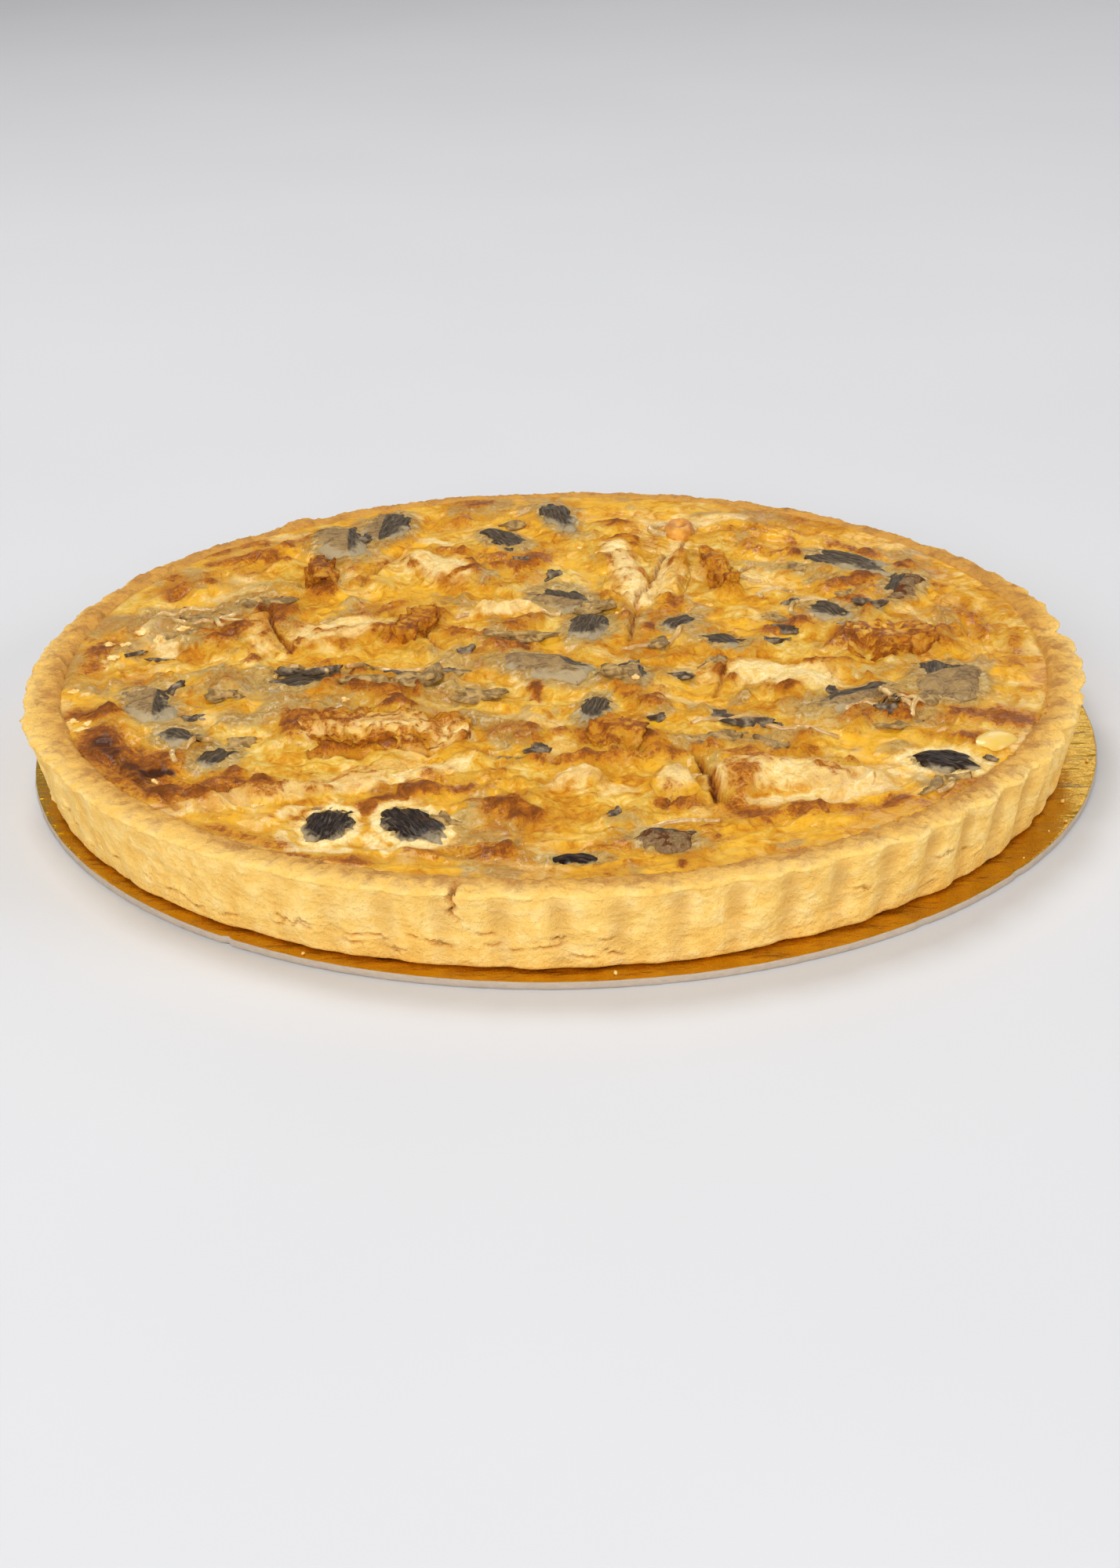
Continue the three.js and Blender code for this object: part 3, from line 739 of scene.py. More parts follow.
hem = [edge for edge in skin_mesh.edges if edge.is_boundary]
drop = bmesh.ops.extrude_edge_only(skin_mesh, edges=hem)["geom"]
for vert in (item for item in drop if isinstance(item, bmesh.types.BMVert)):
    vert.co.z = (floor_height + 0.2) * MM
    shrink = (INNER_RADIUS - 2.6) / (INNER_RADIUS + EDGE_TUCK)
    vert.co.x = middle_x * MM + (vert.co.x - middle_x * MM) * shrink
    vert.co.y = middle_y * MM + (vert.co.y - middle_y * MM) * shrink
bmesh.ops.holes_fill(skin_mesh, edges=[edge for edge in skin_mesh.edges if edge.is_boundary], sides=0)
bmesh.ops.recalc_face_normals(skin_mesh, faces=skin_mesh.faces)


def custard_finish(name, wet):
    """The baked surface: egg yellow through cream, khaki where aubergine shows, amber to brown where it caught, and
    painted shade, a darker amber, in its folds, hollows and creases.
    """
    egg = Finish(name, Coat_Roughness=0.06, Specular_IOR_Level=0.1, Subsurface_Weight=0.08)
    egg.shader.inputs["Subsurface Scale"].default_value = 1.5 * MM
    slow = egg.grain(60, detail=4, roughness=0.6, warp=1.0)
    mottle = egg.grain(230, detail=6, roughness=0.65, warp=1.2)
    fine = egg.grain(1000, detail=5, roughness=0.7, warp=0.6)
    brown, char, cream, mush, yolk, fold, crest = map(
        egg.attribute, ("brown", "char", "cream", "mush", "yolk", "fold", "crest")
    )
    tint = 0.4 * slow + 0.45 * mottle + 0.15 * fine
    ground = egg.node("ShaderNodeValToRGB", {"Fac": tint}, stops=[
        (0.37, "a65e08"), (0.44, "c28118"), (0.5, "d19c2c"), (0.56, "e0b850"), (0.64, "efd48c"),
    ])
    white = egg.blend(egg.step(fine + (mottle - 0.5) * 0.6, 0.3, 0.7), "e2bc62", "f7e2ac")
    mushy = egg.layered(
        egg.blend(egg.step(fine, 0.36, 0.64), "7e6036", "b58f4a"),
        (egg.step(mottle, 0.4, 0.62) * 0.8, "c8a45c"),
        (egg.step(egg.grain(330, detail=4, warp=1.5), 0.55, 0.68) * 0.7, "cabb95"),
    )
    scorch = egg.step(brown + 0.3 * crest + (mottle - 0.5) * 1.3 + (fine - 0.5) * 0.9, 0.12, 1.3)
    caught = egg.node("ShaderNodeValToRGB", {"Fac": scorch}, stops=[
        (0.0, "dd9d2a"), (0.25, "d08a1e"), (0.5, "bd7219"), (0.75, "9b5717"), (1.0, "77400f"),
    ])
    colour = egg.layered(
        ground,
        (yolk * egg.step(mottle, 0.3, 0.6), "ecb01a"),
        (egg.step(cream + (mottle - 0.5) * 0.9 + (slow - 0.5) * 0.5, 0.15, 1.1), white),
        (egg.step(mush + (mottle - 0.5) * 1.5 + (slow - 0.5) * 0.6, 0.2, 0.85) * 0.88, mushy),
        # painted shade: darker amber laid into the folds, hollows and creases
        (fold * 0.75, "b26a12"),
        (egg.step(scorch, 0.0, 0.6), caught),
        (egg.step(char + (mottle - 0.5) * 0.8, 0.3, 0.95), egg.blend(fine, "2a1507", "5b2d10")),
    )
    shine = egg.step(slow + (mottle - 0.5) * 0.8, 0.38, 0.62)
    moist = egg.step(shine * 0.7 + yolk * 0.6 + (fold + mush) * 0.5, 0.2, 1.0)
    egg.drive(
        Base_Color=colour,
        Roughness=0.58 - 0.26 * moist + 0.1 * fine,
        Coat_Weight=moist * wet * (1 - 0.7 * scorch),
    )
    egg.bump((fine * (0.2 + 0.8 * scorch + 0.7 * mush), 0.5), (mottle, 0.55))
    return egg


custard = custard_finish("baked_custard", wet=0.25)
shown("custard", skin_mesh, custard, "custard")

# ---- The cheese ----
# Soft white cheese laid on in slabs, which kept their shape and stand out of the custard.
# Their tops dried, crazed and took colour at the edges; they carry the same bake as the custard.


def swollen(node, levels, fill=1.12):
    """The piece's own rounded body, finely divided and ready to be roughened."""
    rough_shape = bmesh.new()
    rough_shape.from_mesh(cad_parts[node].data)
    bmesh.ops.remove_doubles(rough_shape, verts=rough_shape.verts, dist=1e-6)
    centre = sum((vert.co for vert in rough_shape.verts), Vector()) / len(rough_shape.verts)
    for vert in rough_shape.verts:
        vert.co = centre + (vert.co - centre) * fill
    bmesh.ops.recalc_face_normals(rough_shape, faces=rough_shape.faces)
    mesh = bpy.data.meshes.new(node)
    rough_shape.to_mesh(mesh)
    rough_shape.free()
    carrier = stood(node, mesh)
    rounding = carrier.modifiers.new("rounding", "SUBSURF")
    rounding.levels = rounding.render_levels = levels
    rounded = bpy.data.meshes.new_from_object(carrier.evaluated_get(bpy.context.evaluated_depsgraph_get()))
    bpy.data.objects.remove(carrier)
    bpy.data.meshes.remove(mesh)
    bm = bmesh.new()
    bm.from_mesh(rounded)
    bm.normal_update()
    return bm


def mark(bm, shares):
    for name, share in shares.items():
        layer = bm.verts.layers.float.new(name)
        for vert, value in zip(bm.verts, share):
            vert[layer] = float(value)


def places(bm):
    return np.array([vert.co[:] for vert in bm.verts]) / MM - (middle_x, middle_y, 0)


HIGHEST_CHEESE = 27.2
baked_cheese = custard_finish("baked_cheese", wet=0.15)
for name in sorted(lumps):
    if not name.startswith(("cheese", "curd")):
        continue
    lump = lumps[name]
    bm = swollen(name, 4 if lump.half_length > 11 else 3)
    where = places(bm)
    marks, bed = baked(where[:, 0], where[:, 1])
    plain = name in ("curd_pale", "curd_gold", "curd_strip")
    coarse = name == "cheese_crusted_slab" or name.startswith("curd") and not plain
    reach = np.clip(lump.share(where[:, 0], where[:, 1]), 0, 1)
    knobs = cloud(where, 5.0, 11.0, 3, 0.6)
    crumbs = folds(where, 3.4, 12.0, 2)
    proud = (1.5 if coarse or plain else 0.7) * (1 - reach**4) + knobs * (2.6 if coarse else 0.5)
    if coarse:
        for vert, knob, crumb in zip(bm.verts, knobs, crumbs):
            vert.co += vert.normal * (2.2 * knob + 0.9 * (crumb - 0.5)) * MM
    for vert, level, rise, crumb in zip(bm.verts, bed, proud, crumbs):
        # settled into the custard: the top follows the bake round it, a little proud
        upper = smooth((vert.co.z / MM - 19.5) / 2)
        surface_z = level + rise + crumb * (0.8 if coarse else 0.25)
        vert.co.z = (vert.co.z / MM * (1 - upper) + min(surface_z, HIGHEST_CHEESE) * upper) * MM
    inner = smooth((1.0 - reach) / 0.5)
    at_least(marks, "cream", (0.1 if coarse else 0.8 if plain else 0.5) * inner)
    at_least(marks, "brown", 0.6 * smooth(knobs + 0.4 * crumbs - 0.1))
    marks["brown"] *= 0.5 if plain else 1
    marks["mush"] *= 1 - 0.7 * inner
    if coarse:
        at_least(marks, "brown", (0.3 if name in ("curd_tall", "curd_back", "curd_right") else 0.15) + 0.6 * crumbs)
        marks["brown"] = np.minimum(marks["brown"], 0.42 + 0.45 * crumbs)
    mark(bm, marks)
    shown(name, bm, baked_cheese, name)

# ---- The aubergine ----
# Aubergine cut in chunks and roasted, skin on, before it went in. The skin shrank, glossy and
# purple-black with fine lengthwise wrinkles; the flesh went soft and grey-brown.
# name: which way its skin faces, as (along, across, up), and how much of the piece is skin, 0 to 1
skin_sides = {
    "skin_front_1": ((0, 0, 1), 1.0), "skin_front_2": ((0.3, -0.4, 0.8), 0.85),
    "skin_right": ((0, 0, 1), 1.0), "cube_right": ((0.9, 0.5, -0.1), 0.2),
    "bar_back": ((-0.5, 0.3, 0.6), 0.55), "scorched": ((0, 0.6, 0.4), 0.12),
    "skin_middle": ((0, 0, 1), 0.95), "skin_back": ((0.2, 0.5, 0.7), 0.7),
    "leaf_back": ((0.3, -0.8, 0.2), 0.38), "cube_back": ((-0.3, -0.9, 0.2), 0.2),
    "grey_middle": ((-0.6, 0.5, 0.3), 0.25), "curl": ((0, 0, 1), 0.95),
    "round": ((0, -1, 0), 0.2), "slice": ((0.6, 0.8, 0), 0.12),
    "shreds_left": ((0, 0.4, 0.8), 0.65), "wedge_left": ((0.6, 0.7, 0.2), 0.24),
    "strip_right": ((0, 0.9, 0.3), 0.25), "sliver_front": ((0, 0, 1), 1.0),
    "scorched_front": ((0, 0.6, 0.2), 0.0), "scorched_back": ((0.2, -0.3, 0.6), 0.25),
}

dark_skins = ("skin_front_1", "skin_front_2", "skin_right", "sliver_front")

aubergine = Finish("roast_aubergine", Coat_Roughness=0.12, Specular_IOR_Level=0.06)
skin_share, run, girth = (aubergine.attribute(name) for name in ("skin", "run", "girth"))
thread_place = aubergine.node("ShaderNodeCombineXYZ", {"X": run * 0.12, "Y": girth, "Z": 0.0})
thread_looks = {"Vector": thread_place, "Scale": 1.6, "Detail": 5.0, "Roughness": 0.7}
threads = aubergine.node("ShaderNodeTexNoise", thread_looks)
flesh_cloud = aubergine.grain(260, detail=5, roughness=0.65, warp=0.8)
flesh_fine = aubergine.grain(1100, detail=4, roughness=0.7)
flesh = aubergine.layered(
    aubergine.blend(aubergine.step(flesh_cloud, 0.35, 0.65), "6a5032", "ab8b56"),
    (aubergine.step(flesh_fine, 0.4, 0.7) * 0.5, "b59a74"),
    (aubergine.attribute("caught") * aubergine.step(flesh_cloud, 0.43, 0.56), "5a2f14"),
)
# painted highlights: the lighter streaks along the wrinkles stand in for glints on the peel
glinting_peel = aubergine.blend(aubergine.step(threads, 0.45, 0.75), "1e1410", "6a5848")
# the same painted highlights streak the paler peel
faded = aubergine.blend(aubergine.step(threads, 0.4, 0.7), "463829", "8c7a5c")
glinting_peel = aubergine.blend(aubergine.attribute("faded"), glinting_peel, faded)
veil = aubergine.grain(150, detail=3, warp=0.6)
film = aubergine.step(aubergine.attribute("film") + (flesh_cloud - 0.5) * 1.4 + (veil - 0.5) * 1.6, 0.4, 1.0)
torn = aubergine.step(skin_share + (flesh_cloud - 0.5) * 0.5, 0.42, 0.62)
aubergine.drive(
    Base_Color=aubergine.blend(film * 0.75, aubergine.blend(torn, flesh, glinting_peel), "b3a07c"),
    Roughness=0.55 - torn * 0.2 + flesh_fine * 0.1,
    Coat_Weight=0.03 + torn * 0.05,
)
aubergine.bump((threads * torn, 0.35), (flesh_fine * (1 - torn), 0.35), (flesh_cloud, 0.4))


def chunk(lump, cells, thickness, square):
    """A soft chunk along its lump's axes, domed and ragged. square: 2 is round, 6 boxy, less than 2 pointed."""
    bm = bmesh.new()
    bmesh.ops.create_cube(bm, size=2)
    bmesh.ops.subdivide_edges(bm, edges=bm.edges, cuts=cells, use_grid_fill=True)
    across = np.array([vert.co[:] for vert in bm.verts])
    # the cube's plan drawn in to a rounded outline, its corners first
    wide = np.maximum(np.abs(across[:, 0]), np.abs(across[:, 1]))
    norm = (np.abs(across[:, 0]) ** square + np.abs(across[:, 1]) ** square) ** (1 / square)
    plan = across[:, :2] * (wide / np.maximum(norm, 1e-6))[:, None]
    half = np.array([lump.half_length, lump.half_width])
    drift = np.column_stack([plan * half, across[:, 2] * 2]) + lump.centre * 3
    ragged = np.column_stack([cloud(drift, 5.0, 31.0, 3, 0.6), cloud(drift, 5.0, 32.0, 3, 0.6)])
    if square < 2:
        plan[:, 1] *= (1 - np.abs(plan[:, 0]) ** 2.2) ** 0.6
    edge_out = plan * half * 1.12 + ragged * (2.2 if square >= 2 else 0.8) * wide[:, None]
    fall = np.clip(wide, 0, 1) ** 3
    rise = across[:, 2] * thickness / 2 * (1 - 0.42 * fall)
    for vert, (x, y), z in zip(bm.verts, edge_out, rise):
        vert.co = (x, y, z)
    for _ in range(2):
        bmesh.ops.smooth_vert(bm, verts=bm.verts, factor=0.5, use_axis_x=True, use_axis_y=True, use_axis_z=True)
    bm.normal_update()
    return bm


CHUNK_THICKNESS = 6.0
chance = random.Random(28)
for name in sorted(lumps):
    if not name.startswith("aubergine"):
        continue
    kind = name.removeprefix("aubergine_")
    facing, skin_part = skin_sides.get(kind, ((0, 0, 1), 0.08))
    facing = Vector(facing).normalized()
    lump = lumps[name]
    square = 6 if any(cut in name for cut in ("cube", "bar", "wedge", "strip")) else 2.6
    bm = chunk(lump, 20, CHUNK_THICKNESS, 1.9 if kind in ("skin_right", "sliver_front") else square)
    near = np.array([vert.co[:] for vert in bm.verts])
    share = near / (lump.half_length, lump.half_width, CHUNK_THICKNESS / 2)
    toward = share @ np.array(facing)
    down = -(near[:, 0] * lump.along[1] + near[:, 1] * lump.across[1]) / max(lump.half_width, 3)
    # the custard left a film on the piece's lower side, save where it stood clear
    lapped = np.clip(np.hypot(share[:, 0], share[:, 1]) - 0.5, 0, 1) * (0.9 + 0.8 * np.clip(down, -1, 1))
    bare = "scorched" in name or kind == "cube_right"
    shares = {
        "skin": smooth((toward + 2.2 * skin_part - 0.9) / 0.5 + 0.5) if skin_part < 0.94 else np.ones(len(near)),
        "run": near[:, 0],
        "girth": near[:, 1],
        "caught": np.full(len(near), 1.0 if "scorched" in name else 0.12),
        "faded": np.full(len(near), 0.0 if kind in dark_skins else 0.55),
        "film": (lapped + (0 if kind in dark_skins else 0.18)) * (0.3 if bare else 1),
    }
    wrinkle = folds(near * (0.16, 1, 1) + lump.centre, 2.4, 13.0, 2)
    sag = cloud(near + lump.centre, 6.0, 14.0, 2)
    for vert, fold, slump, skin in zip(bm.verts, wrinkle, sag, shares["skin"]):
        vert.co += vert.normal * (0.5 * (fold - 0.5) * skin + 1.0 * slump)
        x = lump.centre[0] + middle_x + vert.co.x * lump.along[0] + vert.co.y * lump.across[0]
        y = lump.centre[1] + middle_y + vert.co.x * lump.along[1] + vert.co.y * lump.across[1]
        vert.co = Vector((x, y, lump.top - 0.2 - CHUNK_THICKNESS / 2 + vert.co.z)) * MM
    mark(bm, shares)
    shown(name, bm, aubergine, name)

# ---- Garlic and onion ----
# A whole roast garlic clove, smooth and waxy, and a thick ring of onion gone soft and brown.
garlic = Finish("roast_garlic", Coat_Weight=0.25, Subsurface_Weight=0.3, Subsurface_Scale=3 * MM)
garlic.shader.inputs["Subsurface Radius"].default_value = (1.0, 0.7, 0.3)
garlic_tint = garlic.layered(
    garlic.blend(garlic.step(garlic.grain(90, detail=3), 0.35, 0.7), "dcb650", "e6c66e"),
    (garlic.step(garlic.grain(160, detail=4), 0.62, 0.8) * 0.5, "cf9238"),
)
garlic.drive(Base_Color=garlic_tint, Roughness=0.28 + 0.15 * garlic.grain(500))
garlic.bump((garlic.grain(240, detail=3), 0.25))
clove = swollen("garlic_clove", 4)
clove_lump = lumps["garlic_clove"]
lie = Vector((1.0, 0.22)).normalized()  # which way its long side points
for vert, where in zip(clove.verts, places(clove)):
    offset = where - clove_lump.centre
    run_share = (offset[0] * lie.x + offset[1] * lie.y) / clove_lump.half_length
    side_share = (offset[1] * lie.x - offset[0] * lie.y) / clove_lump.half_width
    # an almond, pointed at both ends, lying on its flatter side
    reach_along = run_share * 7.4
    reach_across = side_share * 4.6 * max(0.0, 1 - 0.55 * abs(run_share) ** 1.6)
    vert.co.x = (clove_lump.centre[0] + 0.6 + middle_x + reach_along * lie.x - reach_across * lie.y) * MM
    vert.co.y = (clove_lump.centre[1] + middle_y + reach_along * lie.y + reach_across * lie.x) * MM
    vert.co.z = (clove_lump.centre[2] + offset[2] * 0.8 + 1.1) * MM
shown("garlic_clove", clove, garlic, "garlic_clove")

onion = Finish("roast_onion", Specular_IOR_Level=0.2, Coat_Weight=0.1, Coat_Roughness=0.15)
layers = onion.grain(300, detail=4, stretch=(1, 0.3, 1.5))
onion_tint = onion.layered(
    onion.blend(onion.step(layers, 0.35, 0.65), "bc7420", "e0a040"),
    (onion.step(onion.grain(140, detail=4), 0.5, 0.75), "a05a18"),
)
onion.drive(Base_Color=onion_tint, Roughness=0.3 + 0.2 * layers)
onion.bump((layers, 0.4))
ring = swollen("onion_ring_back", 4, fill=1.1)
ring_lump = lumps["onion_ring_back"]
for vert, where in zip(ring.verts, places(ring)):
    inside = ring_lump.share(where[0], where[1])
    if where[2] > ring_lump.centre[2]:
        vert.co.z -= 1.6 * float(smooth((0.6 - inside) / 0.5)) * MM
shown("onion_ring_back", ring, onion, "onion_ring_back")

# ---- Shreds, strands and crumbs ----
# What is too small to be a piece of its own: shreds of aubergine skin and flesh, strands of onion,
# white curds of cheese, and crumbs of crust on the card.

def surface_height(spots):
    return baked(np.array([x for x, y in spots]), np.array([y for x, y in spots]))[1]


def scatter(rows, bend=0.0, size=1.0):
    """One mesh of small bits. Each row: x, y, length, width, thickness, turn in degrees."""
    levels = surface_height([row[:2] for row in rows])
    bm = bmesh.new()
    for (x, y, length, width, thickness, turn), level in zip(rows, levels):
        made = bmesh.ops.create_icosphere(bm, subdivisions=3, radius=0.5)["verts"]
        drift = Vector((chance.uniform(-9, 9), chance.uniform(-9, 9), 0))
        for vert in made:
            knobbly = 1 + 0.8 * noise.noise(vert.co * 2.2 + drift) + 0.5 * noise.noise(vert.co * 5 + drift)
            vert.co = Vector((vert.co.x * length, vert.co.y * width, vert.co.z * thickness)) * knobbly
            vert.co.y += bend * width * (vert.co.x / length) ** 2 * 4
        place = Matrix.Translation(((x + middle_x) * MM, (y + middle_y) * MM, (level - thickness * 0.14) * MM))
        tilt = Matrix.Rotation(math.radians(chance.uniform(-6, 6)), 4, "X")
        spun = Matrix.Rotation(math.radians(turn), 4, "Z")
        bmesh.ops.transform(bm, matrix=place @ spun @ tilt @ Matrix.Scale(size * MM, 4), verts=made)
    return bm


def mottled(finish, speck, low, dark, light, roughness, bump):
    """Speckles a finish from dark to light, rougher where it is lighter. bump is in millimetres."""
    tint = finish.blend(finish.step(speck, low, low + 0.3), dark, light)
    finish.drive(Base_Color=tint, Roughness=roughness + 0.3 * speck)
    finish.bump((speck, bump))


dark_rows = [
    (48, -49, 13, 3.0, 2.2, -18), (86, 26, 8, 3.2, 2, -10), (79, 13, 5, 3.6, 2, 20), (89, 10, 4, 3, 2, 60),
    (-24, 5, 6, 5, 2.4, 40), (1, 58, 7, 5, 2.6, 80), (40, -42, 8, 4, 2.4, -20), (32, -19, 7, 4, 2.4, 10),
    (82, -46, 5, 4, 2, 0), (-55, 88, 9, 3, 2.6, 70), (134.5, -9, 3, 2, 1.4, 20), (57, 5, 10, 4, 2.2, 12),
    (-60, -10, 9, 3, 2.4, 30), (-70, -9, 7, 2.6, 2.2, -10), (-98, -17, 8, 3, 2.2, 55), (-43, -11, 6, 4, 2, -30),
    (-28, -8, 8, 3.4, 2, 12), (-113, 8, 9, 1.6, 1.4, 32), (-104, 4, 8, 1.4, 1.4, -20), (66, 33, 6, 3, 2, 30),
    (62, 12, 7, 2.6, 2, -30), (-8, 70, 5, 3, 2, 10), (26, -43, 6, 3, 2, 30), (-3.5, -62, 7, 5, 2.4, 24),
    (70, -31, 6, 3, 2, -60), (104, -70, 6, 2.4, 2, -30), (-90, -36, 6, 3, 2, 10), (-101, 42, 6, 3, 2, -24),
    (19, -10, 7, 3.4, 2.2, 30), (13, -97, 6, 3, 2, 50),
]
grey_rows = [
    (-20, -27, 12, 7, 2.6, -14), (-26, -13, 11, 6, 2.6, 20), (-10, 11, 20, 6, 2.6, 4), (-34, -21, 12, 7, 2.6, 34),
    (-48, -22, 13, 6, 2.6, -12), (-10, -66, 9, 5, 2.4, 6), (15.5, -20, 8, 6, 3, 12), (68, -40, 12, 6, 2.6, 20),
    (84, -50, 12, 6, 2.6, -8), (92, -40, 9, 6, 2.6, 40), (40, -57, 12, 5, 2.4, 10), (52, -60, 9, 5, 2.2, -30),
    (-96, 32, 12, 7, 2.6, 20), (-86, 44, 11, 6, 2.6, -20), (-100, 20, 9, 6, 2.2, 50), (-76, 36, 9, 5, 2.2, 0),
    (70, 62, 12, 6, 2.6, -30), (82, 40, 9, 5, 2.4, 12), (62, 22, 10, 5, 2.4, -20), (28, 6, 9, 5, 2.4, 30),
    (-12, 106, 9, 7, 3, 20), (88, -85, 10, 4, 2.4, 60), (95, -80, 6, 3, 2, 20), (-54, -90, 7, 5, 2.4, 10),
    (-26, -97, 8, 4, 2.2, -40), (12, 30, 10, 6, 2.6, 30), (-4, 46, 9, 5, 2.4, -10), (42, -8, 8, 5, 2.2, 60),
    (-86, -22, 10, 6, 2.6, -24), (-78, -52, 9, 6, 2.4, 20),
]
shred = Finish("aubergine_shreds", Specular_IOR_Level=0.05, Coat_Weight=0.02, Coat_Roughness=0.15)
mottled(shred, shred.grain(420, detail=4), 0.4, "4a3b2e", "95836a", 0.25, 0.5)
shown("aubergine_dark_shreds", scatter(dark_rows, bend=0.25), shred, None)
soft_shred = Finish("aubergine_flesh_shreds", Specular_IOR_Level=0.1, Coat_Weight=0.08, Coat_Roughness=0.15)
mottled(soft_shred, soft_shred.grain(380, detail=5, warp=0.8), 0.36, "7d6138", "b8955a", 0.35, 0.7)
shown("aubergine_pale_shreds", scatter(grey_rows, bend=0.2), soft_shred, None)

curd_rows = [
    (-124, -17, 4, 3, 2, 0), (-121, -19, 5, 3, 2, 40), (-121, -36, 4, 3, 2, 10), (-117, -38, 4, 3, 2, 70),
    (-118, -42, 5, 3, 2, 0), (-117, 5, 4, 3, 2, 30), (-120, 15, 5, 3.4, 2.2, 0), (-96, -71, 3, 2.6, 2.2, 0),
    (-115, 12, 4, 3, 2, 60), (-112, 24, 5, 4, 2, 10), (-106, 16, 6, 4, 2.2, 80), (-101, 27, 5, 4, 2, 20),
    (-94, -48, 3, 2.4, 1.6, 0), (82, -78, 4, 3, 1.8, 0), (33, -76, 5, 3, 2, 30),
]
for _ in range(10):
    radius, angle = 118 * math.sqrt(chance.random()), chance.uniform(0, math.tau)
    sizes = [chance.uniform(*ends) for ends in ((1.5, 3.5), (1.2, 2.6), (1, 1.6), (0, 180))]
    curd_rows.append((radius * math.cos(angle), radius * math.sin(angle), *sizes))
curd = Finish("cheese_curds", Subsurface_Weight=0.2, Subsurface_Scale=1.5 * MM)
curd_cloud = curd.grain(500, detail=4)
curd_tint = curd.blend(curd.step(curd_cloud, 0.35, 0.7), "e4b25a", "f4d692")
curd.drive(Base_Color=curd_tint, Roughness=0.35 + 0.3 * curd_cloud)
curd.bump((curd_cloud, 0.4))
shown("cheese_curds", scatter(curd_rows, size=0.75), curd, None)

# x, y of the middle of the curl, its radius, where it starts and how far it goes round, thickness
strand_rows = [
    (62, 42, 5, 20, 200, 1.5), (59, 59, 6, 100, 170, 1.5), (36, 99, 6.5, 0, 330, 2.2), (78, -50, 12, 30, 90, 1.6),
    (66, -44, 16, 200, 80, 1.5), (90, -34, 8, 150, 150, 1.5), (-92, 38, 14, 200, 100, 1.6),
    (-102, 32, 9, 20, 140, 1.5), (44, -58, 16, 60, 70, 1.5), (30, -107, 9, 40, 120, 1.6), (-66, -12, 7, 10, 160, 1.4),
    (-40, -22, 18, 70, 70, 1.5), (-84, -60, 9, 90, 120, 1.5), (22, 14, 12, 250, 100, 1.5), (72, 28, 7, 60, 200, 1.5),
    (84, -82, 9, 300, 110, 1.5), (-16, 12, 22, 60, 60, 1.5), (-80, 26, 12, 120, 100, 1.5), (2, 36, 9, 160, 110, 1.4),
    (100, -48, 12, 100, 80, 1.5),
]
strands = bmesh.new()
for x, y, curl, start, sweep, thickness in strand_rows:
    turns = max(8, int(sweep / 9))
    spots = []
    for i in range(turns + 1):
        angle = math.radians(start + sweep * i / turns)
        spots.append((x + curl * math.cos(angle), y + curl * 0.8 * math.sin(angle)))
    heights = surface_height(spots)
    circle = bmesh.ops.create_circle(strands, segments=8, radius=thickness / 2 * MM, cap_ends=True)["verts"]
    first = math.radians(start)
    facing = Matrix.Rotation(first, 4, "Z") @ Matrix.Rotation(math.pi / 2, 4, "X")
    origin = Vector(((spots[0][0] + middle_x) * MM, (spots[0][1] + middle_y) * MM, (heights[0] + 0.1) * MM))
    bmesh.ops.transform(strands, matrix=Matrix.Translation(origin) @ facing, verts=circle)
    cap = next(face for face in circle[0].link_faces if len(face.verts) == 8)
    for (ax, ay), (bx, by), low, high in zip(spots, spots[1:], heights, heights[1:]):
        moved = bmesh.ops.extrude_face_region(strands, geom=[cap])["geom"]
        cap = next(item for item in moved if isinstance(item, bmesh.types.BMFace))
        step = Vector((bx - ax, by - ay, high - low)) * MM
        bmesh.ops.translate(strands, vec=step, verts=cap.verts)
        swing = Matrix.Rotation(math.radians(sweep / turns), 3, "Z")
        bmesh.ops.rotate(strands, cent=cap.calc_center_median(), matrix=swing, verts=cap.verts)
bmesh.ops.recalc_face_normals(strands, faces=strands.faces)
strand = Finish("onion_strands", Coat_Weight=0.5, Coat_Roughness=0.1, Subsurface_Weight=0.3, Subsurface_Scale=2 * MM)
strand_cloud = strand.grain(180, detail=4)
strand_tint = strand.blend(strand.step(strand_cloud, 0.35, 0.7), "b78a45", "dcb877")
strand.drive(Base_Color=strand_tint, Roughness=0.22 + 0.2 * strand_cloud)
strand.bump((strand.grain(900), 0.2))
shown("onion_strands", strands, strand, None)

crumbs = bmesh.new()
for _ in range(24):
    angle = math.radians(chance.uniform(-175, -5) if chance.random() < 0.7 else chance.uniform(0, 360))
    reach = chance.uniform(134.4, 138.6)
    if math.hypot(reach * math.cos(angle) - middle_x, reach * math.sin(angle) - middle_y) < 135:
        continue
    size = chance.uniform(0.4, 1.1)
    made = bmesh.ops.create_icosphere(crumbs, subdivisions=2, radius=size / 2 * MM)["verts"]
    for vert in made:
        vert.co *= 1 + 0.5 * noise.noise(vert.co / MM * 2.2 + Vector((angle * 9, 0, 0)))
    spot = Vector((reach * math.cos(angle), reach * math.sin(angle), card_top + size * 0.36)) * MM
    bmesh.ops.translate(crumbs, vec=spot, verts=made)
shown("crust_crumbs", crumbs, crust, None)

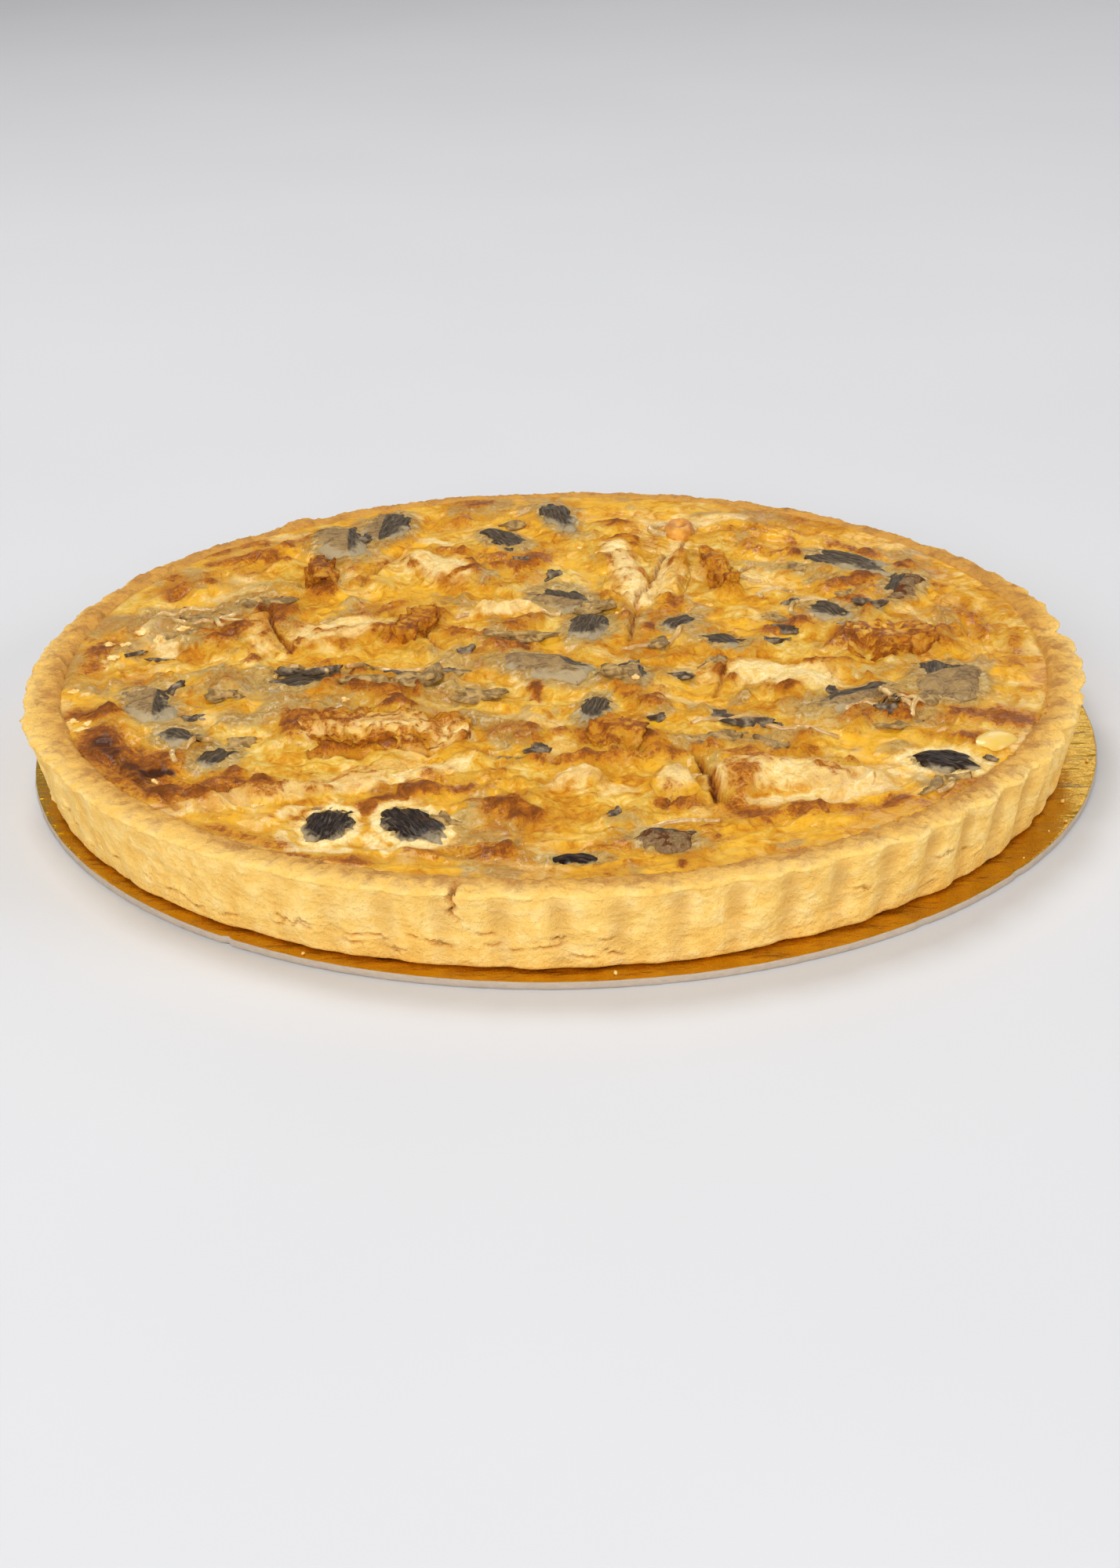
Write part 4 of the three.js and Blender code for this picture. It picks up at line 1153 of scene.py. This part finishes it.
# ---- The table, the light and the camera ----
# A plain pale surface in a bright room: a wide soft light in front, smaller ones above and on the
# right, and a weak one behind.
table_mesh = bmesh.new()
bmesh.ops.create_grid(table_mesh, x_segments=2, y_segments=2, size=3)
table = stood("table", bpy.data.meshes.new("table"))
table_mesh.to_mesh(table.data)
table_mesh.free()
surface = Finish("plain_table", Roughness=0.75)
surface.drive(Base_Color=surface.blend(surface.grain(6, detail=2), "cbccd0", "d1d2d6"))
table.data.materials.append(surface.material)

world = bpy.data.worlds.new("soft_room")
bpy.context.scene.world = world
world.use_nodes = True
world.node_tree.nodes["Background"].inputs["Color"].default_value = (1.0, 0.99, 0.97, 1)
world.node_tree.nodes["Background"].inputs["Strength"].default_value = 0.34


def softbox(name, place, width, height, power, tint):
    """An oblong soft light that faces the origin. Sizes in metres, power in watts."""
    lamp = bpy.data.lights.new(name, "AREA")
    lamp.shape, lamp.size, lamp.size_y, lamp.energy, lamp.color = "RECTANGLE", width, height, power, tint
    holder = stood(name, lamp)
    holder.location = place
    holder.rotation_euler = (-Vector(place)).to_track_quat("-Z", "Y").to_euler()


WARM_WHITE = (1, 0.99, 0.97)
softbox("overhead_softbox", (-0.4, 0.6, 1.4), 0.6, 0.6, 11.5, WARM_WHITE)
softbox("front_softbox", (-0.5, -1.5, 0.85), 1.5, 0.9, 27, WARM_WHITE)
softbox("right_softbox", (1.5, -0.5, 0.7), 0.8, 0.8, 11, WARM_WHITE)
softbox("window", (0.55, 1.5, 0.75), 0.7, 0.45, 2.0, (1, 1, 1))

ELEVATION, ROLL, DISTANCE = 25.11, 1.27, 0.6875
aim = Vector((-1.7, -1.8, -14.9)) * MM
camera = stood("camera", bpy.data.cameras.new("camera"))
camera.data.lens, camera.data.sensor_width = 58.4, 36
camera.data.clip_start = 0.01
tilt = math.radians(ELEVATION)
stand = aim + Vector((0, -math.cos(tilt), math.sin(tilt))) * DISTANCE
turn = Matrix.Rotation(math.pi / 2 - tilt, 4, "X") @ Matrix.Rotation(-math.radians(ROLL), 4, "Z")
camera.matrix_world = Matrix.Translation(stand) @ turn
bpy.context.scene.camera = camera
bpy.context.scene.view_settings.view_transform = "Standard"
